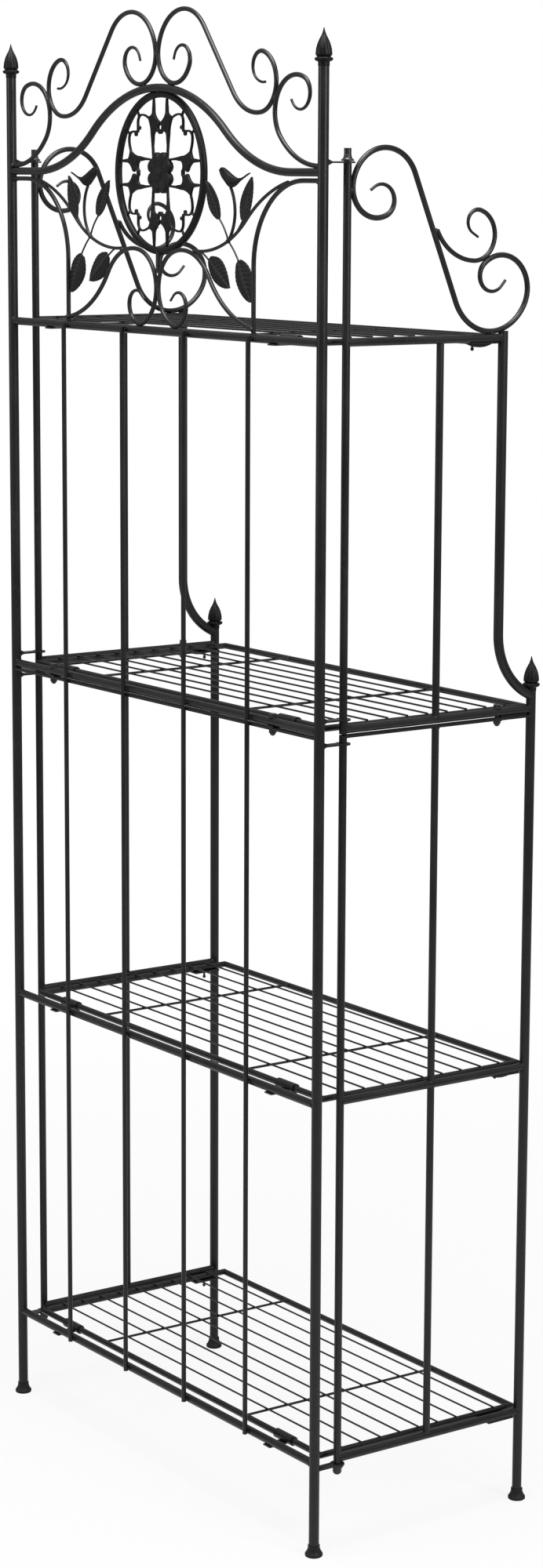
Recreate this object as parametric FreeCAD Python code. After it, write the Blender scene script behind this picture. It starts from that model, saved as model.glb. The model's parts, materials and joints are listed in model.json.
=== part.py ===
import FreeCAD, Part
import collections
import math
import os

V = FreeCAD.Vector

# ---------------------------------------------------------------------------
# Driving dimensions, in millimetres and degrees.
#
# The rack stands on z = 0, its front faces -Y and x runs across it.  "Depth" is
# always measured forward from the plane of the two back posts.
# ---------------------------------------------------------------------------

# Layout of the frames
POST_SPACING = 687.0            # back post to back post
LOWER_DEPTH = 320.0             # back post to the front leg of the lower unit
UPPER_DEPTH = 267.0             # back post to the front leg of the upper unit
STILE_OFFSET = 34.5             # back post to the hinged stile of a side frame
MIDDLE_BAR_SHIFT = 5.0          # how far the middle bars stand back from halfway
BOTTOM_RAIL_Z = 118.0
SHELF_PITCH = 452.5
POST_TOP_Z = 1787.0
BACK_BAR_COUNT = 4

# Diameters of the tubes and rods
POST_DIAMETER = 12.7
LEG_DIAMETER = 12.0
STILE_DIAMETER = 9.5
RAIL_DIAMETER = 10.0
MIDDLE_BAR_DIAMETER = 9.0
BACK_BAR_DIAMETER = 6.0
ARCH_DIAMETER = 9.5
SCROLL_DIAMETER = 5.6           # crest and corner rods of the back
BASE_SCROLL_DIAMETER = 5.4
SIDE_SCROLL_DIAMETER = 6.5
SMALL_SCROLL_DIAMETER = 5.5
VINE_DIAMETER = 4.0
BIRD_STEM_DIAMETER = 3.8
STEM_DIAMETER = 2.2
TIP_SHARE = 0.55                # a scroll's tip is drawn down to this share of its rod

TUBE_WALL = 1.0
WELD_SINK = 0.3                 # how deep a welded rod beds into its neighbour
NECK_LENGTH = 40.0              # necked end of a lower post inside the upper post
LEG_NECK_LENGTH = 20.0          # necked end of a lower leg inside its stub post
NECK_CLEARANCE = 0.1

# Flat bars and sheet metal
SHEET = 2.0                     # straps, shelf clips and brackets
SEAM_BAR_WIDTH = 10.0
SEAM_BAR_THICKNESS = 3.0

# Side frame hinges
HINGE_CLEARANCE = 0.08
HINGE_END_GAP = 0.5
STRAP_WIDTH = 12.0
EYE_DIAMETER = 18.0
TOP_STRAP_Z = 1680.0
STRAP_ABOVE_SEAM = 12.0         # from the rail of the seam
STRAP_BELOW_SEAM = 17.0
STRAP_BELOW_BOTTOM = 7.0        # from the bottom rail
CAP_PLUG = 6.0
CAP_FLANGE_DIAMETER = 15.0
CAP_BODY_DIAMETER = 9.2
CAP_HEIGHT = 14.6               # turned cap on top of a stile
DOME_HEIGHT = 12.0              # domed cap under it
WELD_CONE_HEIGHT = 8.8
WELD_CONE_LENGTH = 8.0

# Upper leg
LEG_BEND_TURN = 68.0
LEG_BEND_END_Z = 1039.5         # where the bent leg meets its stub post
STUB_TOP_Z = 1045.0
LEG_ABOVE_TOP_RAIL = 8.0
SCROLL_SEAT_SETBACK = 20.5      # where a side scroll sits on the rail, behind the leg

# Shelves
SHELF_TUBE_DIAMETER = 8.0
SHELF_WIRE_DIAMETER = 2.4
SHELF_TIE_DIAMETER = 3.2
SHELF_AXIS_DEPTH = 24.0         # hinge tube at the back of every shelf
SHELF_FRONT_OVERHANG = 4.0      # front tube past the front leg's centre
SHELF_SIDE_GAP = 20.1           # side frame centre to the shelf's end tube
SHELF_WIRE_PITCH = 30.0
SHELF_TIE_X = 165.0
SHELF_REST_GAP = 0.3
CLIP_X = 249.0
CLIP_LENGTH = 36.0
CLIP_TAIL_WIDTH = 14.0

# Brackets that carry the shelf ends
BRACKET_LENGTH = 40.0
BRACKET_SETBACK = 10.0          # from the centre of the front leg
BRACKET_REACH = 27.0            # inward from the centre of the side frame
BRACKET_UNDER_RAIL = 3.0        # outward from it
BRACKET_RIB_HEIGHT = 4.5
BRACKET_RIB_INSET = 7.5
PEG_DIAMETER = 3.0
PEG_BALL_DIAMETER = 4.5
PEG_DROP = 7.0                  # ball centre below the bracket
PEG_INSET = 20.0                # from the centre of the side frame
PEG_FROM_LEG = 31.0

# Bolts that join the upper and lower units
BOLT_DIAMETER = 5.0
BOLT_HOLE_DIAMETER = 5.5
HEX_WIDTH = 8.0
HEX_HEIGHT = 4.0
WASHER_DIAMETER = 10.0
WASHER_THICKNESS = 1.0
NUT_DOME_DIAMETER = 7.2
BOLT_BEHIND_BRACKET = 3.0       # side bolt's centre to the shelf bracket in front of it

# Arch over the back
ARCH_FOOT_Z = 1668.5
ARCH_RISE = 100.5
ARCH_FLAT = 62.9                # straight end of the arch, from the post's centre
ARCH_CREST_SHARE = 0.524        # share of the crest in the sum of the two radii

# Corner arches under the big arch
CORNER_ARCH_Z = 1659.0
CORNER_FLAT = 38.5

# Medallion
MEDALLION_RADIUS = 94.5         # to the middle of the ring
RING_DIAMETER = 9.0
RING_DEPTH = 5.0                # the ring stands in front of the back's plane
FILIGREE_THICKNESS = 3.0
ROSETTE_THICKNESS = 5.0
LOBE_SIZE = 14.5                # the rosette's eight lobes
LOBE_RADIUS = 19.0              # from the medallion's centre to a lobe's centre
LOBE_ANGLE = 23.0               # a lobe's turn from the nearest axis
BRANCH_WIDTH = 2.6
MEDALLION_STEM_DIAMETER = 8.0
MEDALLION_STEM_LENGTH = 22.0

# Base scrolls and vines
CROWN_RADIUS = 69.8             # top bend of a base scroll, towards its foot
VINE_FOOT_RADIUS = 144.0
VINE_TOP_ANGLE = 107.0          # where a vine leaves its corner arch, round the arch's centre
VINE_FOOT_ANGLE = 70.0          # where it lands on a base scroll, round the crown's centre
VINE_NODE_SHARE = 0.375         # the node's share of the way from the vine's foot

# Leaves and birds
LEAF_THICKNESS = 1.6
LEAF_TO_CORNER = 3.3            # from the outer leaves' tips to the corner arch
BIRD_THICKNESS_SHARE = 0.6
BIRD_MAX_HALF_THICKNESS = 4.5
BIRD_BED = 1.2                  # how deep a bird sits down on its stem

# Feet and finials
FOOT_DIAMETER = 22.0
FOOT_HEIGHT = 14.0
FOOT_FLOOR = 3.0
FOOT_NECK_DIAMETER = 14.8
FINIAL_HEIGHT = 43.0
FINIAL_PLUG = 6.0
FINIAL_LIP = 0.4                # the neck's step past its tube
FINIAL_FLANGE_DIAMETER = 21.5
FINIAL_BUD_DIAMETER = 19.5

# ---------------------------------------------------------------------------
# Values that follow from the driving dimensions
# ---------------------------------------------------------------------------

BACK_Y = LOWER_DEPTH / 2
POST_X = POST_SPACING / 2
POST_R = POST_DIAMETER / 2
LEG_R = LEG_DIAMETER / 2
STILE_R = STILE_DIAMETER / 2
RAIL_R = RAIL_DIAMETER / 2
MIDDLE_BAR_R = MIDDLE_BAR_DIAMETER / 2
BACK_BAR_R = BACK_BAR_DIAMETER / 2
ARCH_R = ARCH_DIAMETER / 2
SCROLL_R = SCROLL_DIAMETER / 2
BASE_SCROLL_R = BASE_SCROLL_DIAMETER / 2
SIDE_SCROLL_R = SIDE_SCROLL_DIAMETER / 2
SMALL_SCROLL_R = SMALL_SCROLL_DIAMETER / 2
VINE_R = VINE_DIAMETER / 2
STEM_R = STEM_DIAMETER / 2
RING_R = RING_DIAMETER / 2
SHELF_TUBE_R = SHELF_TUBE_DIAMETER / 2

BOTTOM_Z, LOWER_Z, SEAM_RAIL_Z, TOP_RAIL_Z = [BOTTOM_RAIL_Z + SHELF_PITCH * i for i in range(4)]
LEVELS = (BOTTOM_Z, LOWER_Z, SEAM_RAIL_Z, TOP_RAIL_Z)
DEPTHS = (LOWER_DEPTH, LOWER_DEPTH, LOWER_DEPTH, UPPER_DEPTH)

BELOW_RAIL = WELD_SINK - RAIL_R                 # top of what is welded under a rail
SEAM_BAR_TOP_Z = SEAM_RAIL_Z + BELOW_RAIL - SHEET
SEAM_Z = SEAM_RAIL_Z + BELOW_RAIL - SHEET / 2
SHELF_RISE = BELOW_RAIL + SHELF_REST_GAP + SHELF_TUBE_R     # shelf tubes above a rail's centre
SHELF_X = POST_X - SHELF_SIDE_GAP
BAR_XS = [POST_SPACING * (i + 1) / (BACK_BAR_COUNT + 1) - POST_X for i in range(BACK_BAR_COUNT)]
CORNER_X = BAR_XS[-1]
BOLT_X = CLIP_X
SIDE_BOLT_DEPTH = LOWER_DEPTH - BRACKET_SETBACK - BRACKET_LENGTH - BOLT_BEHIND_BRACKET
SIDES = {"left": -1, "right": 1}

# ---------------------------------------------------------------------------
# Solids
# ---------------------------------------------------------------------------


def at(x, depth, z):
    """A point from its place across, its depth from the back posts and its height."""
    return V(x, BACK_Y - depth, z)


def rod(start, end, radius):
    return Part.makeCylinder(radius, (end - start).Length, start, end - start)


def tube(start, end, radius):
    return rod(start, end, radius).cut(rod(start, end, radius - TUBE_WALL))


def turned(profile):
    """Solid of revolution about Z from (radius, height) points; three in a tuple make an arc."""
    edges = []
    here = V(profile[0][0], 0, profile[0][1])
    for step in profile[1:]:
        if isinstance(step[0], tuple):
            middle, end = [V(r, 0, z) for r, z in step]
            edges.append(Part.Arc(here, middle, end).toShape())
        else:
            end = V(step[0], 0, step[1])
            edges.append(Part.LineSegment(here, end).toShape())
        here = end
    edges.append(Part.LineSegment(here, V(profile[0][0], 0, profile[0][1])).toShape())
    face = Part.Face(Part.Wire(edges))
    return face.revolve(V(0, 0, 0), V(0, 0, 1), 360)


def moved(shape, offset):
    copy = shape.copy()
    copy.translate(offset)
    return copy


def mirrored(shape):
    """The twin of a piece on the other side of the rack's middle plane."""
    return shape.mirror(V(0, 0, 0), V(1, 0, 0))


def with_twin(shape):
    return [shape, mirrored(shape)]


def joined(pieces):
    solid = pieces[0]
    for piece in pieces[1:]:
        solid = solid.fuse(piece)
    return solid.Solids[0]


def seated(piece, neighbours):
    """Take the neighbours' shapes out of a piece, so that its end or flank beds against them."""
    return piece.cut(Part.makeCompound(neighbours)).Solids[0]


# ---------------------------------------------------------------------------
# Flat paths of straight runs and tangent arcs
# ---------------------------------------------------------------------------

Run = collections.namedtuple("Run", "start end centre turn")


def in_plane(point):
    return V(point[0], point[1], 0)


def straight(length):
    return ("straight", length)


def bend(radius, turn):
    """An arc; a positive turn is counter-clockwise."""
    return ("bend", radius, turn)


def ahead(point, heading, length):
    angle = math.radians(heading)
    return (point[0] + length * math.cos(angle), point[1] + length * math.sin(angle))


def trace(start, heading, moves):
    """Runs of a path that starts at a point with a heading and follows the moves."""
    runs = []
    here = start
    for move in moves:
        if move[0] == "straight":
            end = ahead(here, heading, move[1])
            runs.append(Run(here, end, None, 0.0))
        else:
            radius, turn = move[1:]
            to_centre = math.copysign(90, turn)
            centre = ahead(here, heading + to_centre, radius)
            heading += turn
            end = ahead(centre, heading - to_centre, radius)
            runs.append(Run(here, end, centre, turn))
        here = end
    return runs


def arc_to(start, heading, end):
    """One arc that leaves start with a heading and ends at a point: the move and its last heading."""
    across, up = end[0] - start[0], end[1] - start[1]
    chord = math.hypot(across, up)
    half_turn = (math.degrees(math.atan2(up, across)) - heading + 180) % 360 - 180
    radius = chord / (2 * abs(math.sin(math.radians(half_turn))))
    return bend(radius, 2 * half_turn), heading + 2 * half_turn


def swing(start, heading, radius, end, end_heading):
    """Two opposite tangent arcs to an end with a heading; the first has a given radius, + to the left."""
    side = math.copysign(1, radius)
    centre = in_plane(ahead(start, heading + 90 * side, abs(radius)))
    inward = in_plane(ahead((0, 0), end_heading - 90 * side, 1))
    reach = in_plane(end) - centre
    second = (reach.dot(reach) - radius ** 2) / (2 * (abs(radius) - reach.dot(inward)))
    between = in_plane(end) + inward * second - centre
    touch = centre + between * (abs(radius) / between.Length)
    move_a, middle_heading = arc_to(start, heading, (touch.x, touch.y))
    move_b, _ = arc_to((touch.x, touch.y), middle_heading, end)
    return trace(start, heading, [move_a, move_b])


def turned_round(runs):
    """The same path from its other end."""
    return [Run(run.end, run.start, run.centre, -run.turn) for run in reversed(runs)]


def shifted(runs, across, up):
    def move(point):
        return point and (point[0] + across, point[1] + up)
    return [Run(move(run.start), move(run.end), move(run.centre), run.turn) for run in runs]


def points_of(runs, step=2.0):
    """Points along a path, one every few degrees of its arcs."""
    points = [runs[0].start]
    for run in runs:
        if run.centre:
            count = max(2, round(abs(run.turn) / step))
            radius = math.dist(run.start, run.centre)
            first = math.degrees(math.atan2(run.start[1] - run.centre[1], run.start[0] - run.centre[0]))
            points += [ahead(run.centre, first + run.turn * i / count, radius) for i in range(1, count + 1)]
        else:
            points.append(run.end)
    return points


def gap_between(points, others):
    return min(math.dist(a, b) for a in points for b in others)


def solve(function, low, high):
    """Where a rising or falling function passes through zero, by halving."""
    rising = function(high) > function(low)
    for _ in range(40):
        middle = (low + high) / 2
        if (function(middle) > 0) == rising:
            high = middle
        else:
            low = middle
    return (low + high) / 2


def run_heading(run, at_end):
    """The direction of a run at its start or end, as a vector in its plane."""
    if not run.centre:
        return in_plane(run.end) - in_plane(run.start)
    point = run.end if at_end else run.start
    arm = in_plane(point) - in_plane(run.centre)
    return V(0, 0, math.copysign(1, run.turn)).cross(arm)


def section(centre, direction, radius):
    return Part.Wire(Part.makeCircle(radius, centre, direction))


def carried(face, run):
    """The solid that a face at the start of a run sweeps on its way to the run's end."""
    if run.centre:
        axis = V(0, 0, math.copysign(1, run.turn))
        return face.revolve(in_plane(run.centre), axis, abs(run.turn))
    return face.extrude(in_plane(run.end) - in_plane(run.start))


def bent_run(run, radius, bore=0.0):
    """Round bar, or tube with a bore, along one run."""
    wires = [section(in_plane(run.start), run_heading(run, False), r) for r in (radius, bore) if r > 0]
    face = Part.Face(wires[0])
    if len(wires) > 1:
        face = face.cut(Part.Face(wires[1])).Faces[0]
    return carried(face, run)


def flat_run(run, width, thickness):
    """Flat strip along one run."""
    start = in_plane(run.start)
    side = V(0, 0, 1).cross(run_heading(run, False)).normalize() * (width / 2)
    up = V(0, 0, thickness / 2)
    corners = [start - side - up, start + side - up, start + side + up, start - side + up]
    return carried(Part.Face(Part.makePolygon(corners + corners[:1])), run)


def tapered_run(run, radius, tip_radius):
    """Round bar along an arc, drawn down towards its end."""
    count = max(3, round(abs(run.turn) / 30))
    arm = in_plane(run.start) - in_plane(run.centre)
    heading = run_heading(run, False)
    sections = []
    for i in range(count + 1):
        turn = FreeCAD.Rotation(V(0, 0, 1), run.turn * i / count)
        place = in_plane(run.centre) + turn.multVec(arm)
        size = radius + (tip_radius - radius) * i / count
        sections.append(section(place, turn.multVec(heading), size))
    return Part.makeLoft(sections, True, False)


def bent_bar(runs, radius, tips=0, bore=0.0):
    """One bar along a path; tips says how many of its ends, from the last, are drawn down."""
    pieces = []
    tip_radius = radius * TIP_SHARE
    for index, run in enumerate(runs):
        from_end = len(runs) - 1 - index
        if tips and from_end == 0:
            pieces.append(bent_run(run, tip_radius))
        elif tips and from_end == 1:
            pieces.append(tapered_run(run, radius, tip_radius))
        elif tips == 2 and index == 0:
            pieces.append(bent_run(run, tip_radius))
        elif tips == 2 and index == 1:
            pieces.append(tapered_run(turned_round([run])[0], radius, tip_radius))
        else:
            pieces.append(bent_run(run, radius, bore))
    return joined(pieces)


def stood(shape, plane):
    """A flat figure, drawn in x and y, moved into a plane of the rack."""
    copy = shape.copy()
    copy.Placement = plane.multiply(copy.Placement)
    return copy


def on_back(shape, depth=0.0):
    """Stand a flat figure (across, up) in the plane of the back, some depth in front of it."""
    return stood(shape, FreeCAD.Placement(at(0, depth, 0), FreeCAD.Rotation(V(1, 0, 0), 90)))


def on_side(shape, side):
    """Stand a flat figure (depth, up) in the plane of a side frame."""
    turn = FreeCAD.Rotation(V(0, 0, 1), -90).multiply(FreeCAD.Rotation(V(1, 0, 0), 90))
    return stood(shape, FreeCAD.Placement(at(side * POST_X, 0, 0), turn))


def scroll(heading, length, forward, backward):
    """A rod with a straight middle that curls at both ends, drawn with its middle run at the origin."""
    start = (0.0, 0.0)
    end = ahead(start, heading, length)
    back = trace(start, heading + 180, backward)
    return turned_round(back) + [Run(start, end, None, 0.0)] + trace(end, heading, forward)


# ---------------------------------------------------------------------------
# Paths of the ornament: each one is placed by what it touches
# ---------------------------------------------------------------------------


def arch_path():
    """Right half of the arch, from its apex to the post."""
    run = POST_X - ARCH_FLAT
    turn = 2 * math.degrees(math.atan2(ARCH_RISE, run))
    radii = run / math.sin(math.radians(turn))
    crest = ARCH_CREST_SHARE * radii
    moves = [bend(crest, -turn), bend(radii - crest, turn), straight(ARCH_FLAT)]
    return trace((0.0, ARCH_FOOT_Z + ARCH_RISE), 0.0, moves)


def crest_end_path():
    """Small scroll that springs from a post beside the crest."""
    start = (POST_X, ARCH_FOOT_Z + ARCH_R + SCROLL_R)
    moves = [straight(4.0), bend(102.1, -50.6), bend(41.6, -154.7), bend(18.8, -185.0), bend(20.0, -38.0)]
    return trace(start, 182.8, moves)


def crest_path():
    """Big crest scroll: it leans on its twin, sits on the arch and touches the end scroll."""
    forward = [bend(55.8, 129.0), bend(35.6, 166.8), bend(17.1, 185.0), straight(6.0)]
    backward = [bend(63.0, 58.0), bend(35.4, 158.0), bend(17.0, 155.0), bend(24.0, 50.0)]
    arch = arch_path()
    arch_centre = arch[0].centre
    seat = math.dist(arch[0].start, arch_centre) + ARCH_R + SCROLL_R - WELD_SINK
    neighbour = points_of(crest_end_path())
    across = POST_X - ARCH_FLAT

    def placed(length):
        runs = scroll(128.0, length, forward, backward)
        runs = shifted(runs, SCROLL_R - WELD_SINK / 2 - min(p[0] for p in points_of(runs)), ARCH_FOOT_Z)
        inner = points_of(runs[-3:])

        def above_arch(rise):
            return min(math.dist((x, z + rise), arch_centre) for x, z in inner) - seat
        return shifted(runs, 0, solve(above_arch, 0, 2.5 * ARCH_RISE))

    def overreach(length):
        return max(p[0] for p in points_of(placed(length))) - min(p[0] for p in neighbour)

    def end_gap(length):
        return gap_between(points_of(placed(length)[:4]), neighbour) - SCROLL_DIAMETER + WELD_SINK
    level = solve(overreach, 1.0, across)
    return placed(solve(end_gap, level - across / 8, level + across / 32))


def corner_arch_path():
    """Right corner arch, from the post down to the top rail."""
    radius = POST_X - CORNER_FLAT - CORNER_X
    drop = CORNER_ARCH_Z - radius - TOP_RAIL_Z
    moves = [straight(CORNER_FLAT), bend(radius, 90), straight(drop)]
    return trace((POST_X, CORNER_ARCH_Z), 180.0, moves)


def base_scroll_path():
    """Scroll on the top rail: it leans on its twin and its foot ends against the corner arch."""
    curl = trace((0.0, 0.0), 182.0, [bend(67.0, 11.0), bend(47.1, 140.4), bend(23.9, 121.1),
                                     bend(16.5, 130.0), straight(8.0)])
    points = points_of(curl)
    across = BASE_SCROLL_R - WELD_SINK / 2 - min(p[0] for p in points)
    up = TOP_RAIL_Z + RAIL_R + BASE_SCROLL_R - WELD_SINK - min(p[1] for p in points)
    curl = shifted(curl, across, up)
    foot_end = (CORNER_X, TOP_RAIL_Z + RAIL_R + BASE_SCROLL_DIAMETER)
    return turned_round(swing(curl[0].start, 2.0, -CROWN_RADIUS, foot_end, -8.0)) + curl


def medallion_centre():
    """The ring hangs under the arch's crest, touching it from the front."""
    reach = ARCH_R + RING_R - WELD_SINK
    drop = math.sqrt(reach ** 2 - RING_DEPTH ** 2)
    return (0.0, ARCH_FOOT_Z + ARCH_RISE - drop - MEDALLION_RADIUS)


def vine_path():
    """Right vine, from its foot on the base scroll's crown up to the corner arch."""
    crown = base_scroll_path()[1]
    beside = BASE_SCROLL_R + VINE_R - WELD_SINK
    foot_end = ahead(crown.centre, VINE_FOOT_ANGLE, CROWN_RADIUS + beside)
    corner = corner_arch_path()[1]
    top = ahead(corner.centre, VINE_TOP_ANGLE, math.dist(corner.start, corner.centre) + SCROLL_R)
    return swing(foot_end, -5.2, VINE_FOOT_RADIUS, top, 12.5)


def side_scroll_path():
    """Main scroll of a side frame: it leans on the stile and sits on the top rail behind the leg."""
    forward = [bend(46.8, 150.0), bend(34.7, 121.6), bend(18.5, 190.0), straight(6.0)]
    backward = [bend(57.6, 128.9), bend(40.2, 158.5), bend(18.8, 188.0), straight(9.0)]
    left = STILE_OFFSET + STILE_R + SIDE_SCROLL_R - WELD_SINK
    seat = TOP_RAIL_Z + RAIL_R + SIDE_SCROLL_R - WELD_SINK

    def placed(length):
        runs = scroll(112.6, length, forward, backward)
        points = points_of(runs)
        return shifted(runs, left - min(p[0] for p in points), seat - min(p[1] for p in points))

    def seat_error(length):
        lowest = min(points_of(placed(length)), key=lambda p: p[1])
        return lowest[0] - (UPPER_DEPTH - SCROLL_SEAT_SETBACK)
    return placed(solve(seat_error, 60.0, 320.0))


def small_scroll_path():
    """Small scroll that starts alongside the main one's straight run and rests on its lower curl."""
    main = side_scroll_path()
    middle = main[4]
    curl = points_of(main[:4])
    moves = [bend(63.9, 62.3), bend(30.0, 167.6), bend(14.5, 163.4), straight(9.7)]
    down = math.degrees(math.atan2(middle.start[1] - middle.end[1], middle.start[0] - middle.end[0]))
    beside = ahead((0, 0), down + 90, SIDE_SCROLL_R + SMALL_SCROLL_R - WELD_SINK)

    def placed(distance):
        return shifted(trace(ahead(middle.end, down, distance), down + 3.0, moves), *beside)

    def gap(distance):
        touching = points_of(placed(distance)[:2])
        return gap_between(touching, curl) - SMALL_SCROLL_R - SIDE_SCROLL_R + WELD_SINK
    return placed(solve(gap, 0.0, 0.55 * math.dist(middle.start, middle.end)))


# ---------------------------------------------------------------------------
# Back frame
# ---------------------------------------------------------------------------


def post_body(side):
    """Full round of a back post, for coping what meets it."""
    return rod(at(side * POST_X, 0, 0), at(side * POST_X, 0, POST_TOP_Z), POST_R)


def rail_body(z):
    return rod(at(-POST_X, 0, z), at(POST_X, 0, z), RAIL_R)


def necked_tube(radius, top, neck_length):
    """Lower tube whose end is drawn in to plug into the upper tube, standing on its foot's floor."""
    bore = radius - TUBE_WALL
    neck = bore - NECK_CLEARANCE
    neck_bore = neck - TUBE_WALL
    shoulder = top - TUBE_WALL
    return turned([(bore, FOOT_FLOOR), (radius, FOOT_FLOOR), (radius, top), (neck, top),
                   (neck, top + neck_length), (neck_bore, top + neck_length),
                   (neck_bore, shoulder), (bore, shoulder)])


def foot(radius):
    """Flared foot with a socket for its tube."""
    outer = FOOT_DIAMETER / 2
    neck = FOOT_NECK_DIAMETER / 2
    rim = 0.25 * FOOT_HEIGHT
    return turned([(0, 0), (outer - 0.8, 0), (outer, 0.8), (outer, rim),
                   ((0.5 * outer + 0.43 * neck, 0.5 * FOOT_HEIGHT), (neck, 0.8 * FOOT_HEIGHT)),
                   (neck, FOOT_HEIGHT), (radius, FOOT_HEIGHT), (radius, FOOT_FLOOR), (0, FOOT_FLOOR)])


def finial(tube_radius):
    """Spear bud on a flanged neck, plugged into the top of its tube."""
    flange = FINIAL_FLANGE_DIAMETER / 2
    bud = FINIAL_BUD_DIAMETER / 2
    neck = tube_radius + FINIAL_LIP
    plug = tube_radius - TUBE_WALL
    h = FINIAL_HEIGHT
    return turned([(0, -FINIAL_PLUG), (plug, -FINIAL_PLUG), (plug, 0), (neck, 0), (neck, 0.12 * h),
                   ((0.85 * flange, 0.13 * h), (flange, 0.17 * h)), (flange, 0.21 * h),
                   (0.74 * bud, 0.245 * h), ((0.93 * bud, 0.27 * h), (bud, 0.32 * h)),
                   ((0.91 * bud, 0.48 * h), (0.5 * bud, 0.72 * h)),
                   ((0.2 * bud, 0.86 * h), (0.05 * bud, h)), (0, h)])


def hinge_strap(side, z):
    """Strap welded to a post, with an eye round the stile of a side frame."""
    x = side * POST_X
    low = z - SHEET / 2
    hinge = at(x, STILE_OFFSET, low)
    strip = Part.makeBox(STRAP_WIDTH, STILE_OFFSET, SHEET, hinge - V(STRAP_WIDTH / 2, 0, 0))
    eye = rod(hinge, hinge + V(0, 0, SHEET), EYE_DIAMETER / 2)
    weld_start = at(x, POST_R - TUBE_WALL, z)
    weld = Part.makeCone(WELD_CONE_HEIGHT / 2, SHEET / 2, WELD_CONE_LENGTH, weld_start, V(0, -1, 0))
    hole = rod(hinge - V(0, 0, SHEET), hinge + V(0, 0, 2 * SHEET), STILE_R + HINGE_CLEARANCE)
    return seated(joined([strip, eye, weld]), [post_body(side), hole])


def hinge_straps():
    heights = (TOP_STRAP_Z, SEAM_RAIL_Z + STRAP_ABOVE_SEAM, SEAM_RAIL_Z - STRAP_BELOW_SEAM,
               BOTTOM_Z - STRAP_BELOW_BOTTOM)
    return [hinge_strap(side, z) for side in SIDES.values() for z in heights]


def seam_hole(x, depth):
    return rod(at(x, depth, SEAM_RAIL_Z - 20), at(x, depth, SEAM_RAIL_Z + 20), BOLT_HOLE_DIAMETER / 2)


def back_rails():
    posts = [post_body(side) for side in SIDES.values()]
    rails = []
    for z in LEVELS:
        holes = [seam_hole(x, 0) for x in (-BOLT_X, BOLT_X)] if z == SEAM_RAIL_Z else []
        rails.append(seated(tube(at(-POST_X, 0, z), at(POST_X, 0, z), RAIL_R), posts + holes))
    return rails


def seam_bar(start, end):
    """Flat bar along the top of the lower unit."""
    half = SEAM_BAR_WIDTH / 2
    along = end - start
    side = V(-along.y, along.x, 0).normalize() * half
    corners = [start - side, end - side, end + side, start + side, start - side]
    face = Part.Face(Part.makePolygon(corners))
    return face.extrude(V(0, 0, -SEAM_BAR_THICKNESS))


def back_seam_bar():
    bar = seam_bar(at(-POST_X, 0, SEAM_BAR_TOP_Z), at(POST_X, 0, SEAM_BAR_TOP_Z))
    holes = [seam_hole(x, 0) for x in (-BOLT_X, BOLT_X)]
    return seated(bar, [post_body(side) for side in SIDES.values()] + holes)


def back_bars():
    """Upright bars welded to the rear of the rails, a set for each unit."""
    depth = -(RAIL_R + BACK_BAR_R - WELD_SINK)
    rails = [rail_body(z) for z in LEVELS] + [back_seam_bar()]
    spans = ((BOTTOM_Z - BACK_BAR_R, SEAM_BAR_TOP_Z), (SEAM_RAIL_Z - BACK_BAR_R, TOP_RAIL_Z + BACK_BAR_R))
    bars = []
    for low, high in spans:
        bars += [seated(rod(at(x, depth, low), at(x, depth, high), BACK_BAR_R), rails) for x in BAR_XS]
    return bars


def arch_tube():
    """Tube bent into a bell-shaped arch between the posts."""
    bore = ARCH_R - TUBE_WALL
    half = on_back(joined([bent_run(run, ARCH_R, bore) for run in arch_path()]))
    return seated(joined(with_twin(half)), [post_body(side) for side in SIDES.values()])


def arch_body():
    return on_back(bent_bar(arch_path(), ARCH_R))


def crest_scrolls(arch):
    crest = on_back(bent_bar(crest_path(), SCROLL_R, tips=2))
    end_scroll = on_back(bent_bar(crest_end_path(), SCROLL_R, tips=1))
    twins = mirrored(crest)
    right = seated(crest, [arch, twins])
    right_end = seated(end_scroll, [post_body(1), arch, crest])
    return [right, seated(twins, [mirrored(arch)]), right_end, mirrored(right_end)]


def corner_arch():
    return seated(on_back(bent_bar(corner_arch_path(), SCROLL_R)), [post_body(1), rail_body(TOP_RAIL_Z)])


def base_scrolls(corner):
    full = on_back(bent_bar(base_scroll_path(), BASE_SCROLL_R, tips=1))
    right = seated(full, [rail_body(TOP_RAIL_Z), corner, mirrored(full)])
    left = seated(mirrored(full), [rail_body(TOP_RAIL_Z), mirrored(corner)])
    return [right, left]


def medallion_ring():
    x, z = medallion_centre()
    return Part.makeTorus(MEDALLION_RADIUS, RING_R, at(x, RING_DEPTH, z), V(0, 1, 0))


def plate(outline, thickness):
    """Flat casting from an outline: points, with an arc where a tuple holds (middle, end)."""
    edges = []
    here = in_plane(outline[0])
    for step in outline[1:] + [outline[0]]:
        if isinstance(step[0], tuple):
            middle, end = [in_plane(p) for p in step]
            edges.append(Part.Arc(here, middle, end).toShape())
        else:
            end = in_plane(step)
            edges.append(Part.LineSegment(here, end).toShape())
        here = end
    return moved(Part.Face(Part.Wire(edges)).extrude(V(0, 0, thickness)), V(0, 0, -thickness / 2))


def disc(centre, radius, thickness):
    return Part.makeCylinder(radius, thickness, V(centre[0], centre[1], -thickness / 2))


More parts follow.
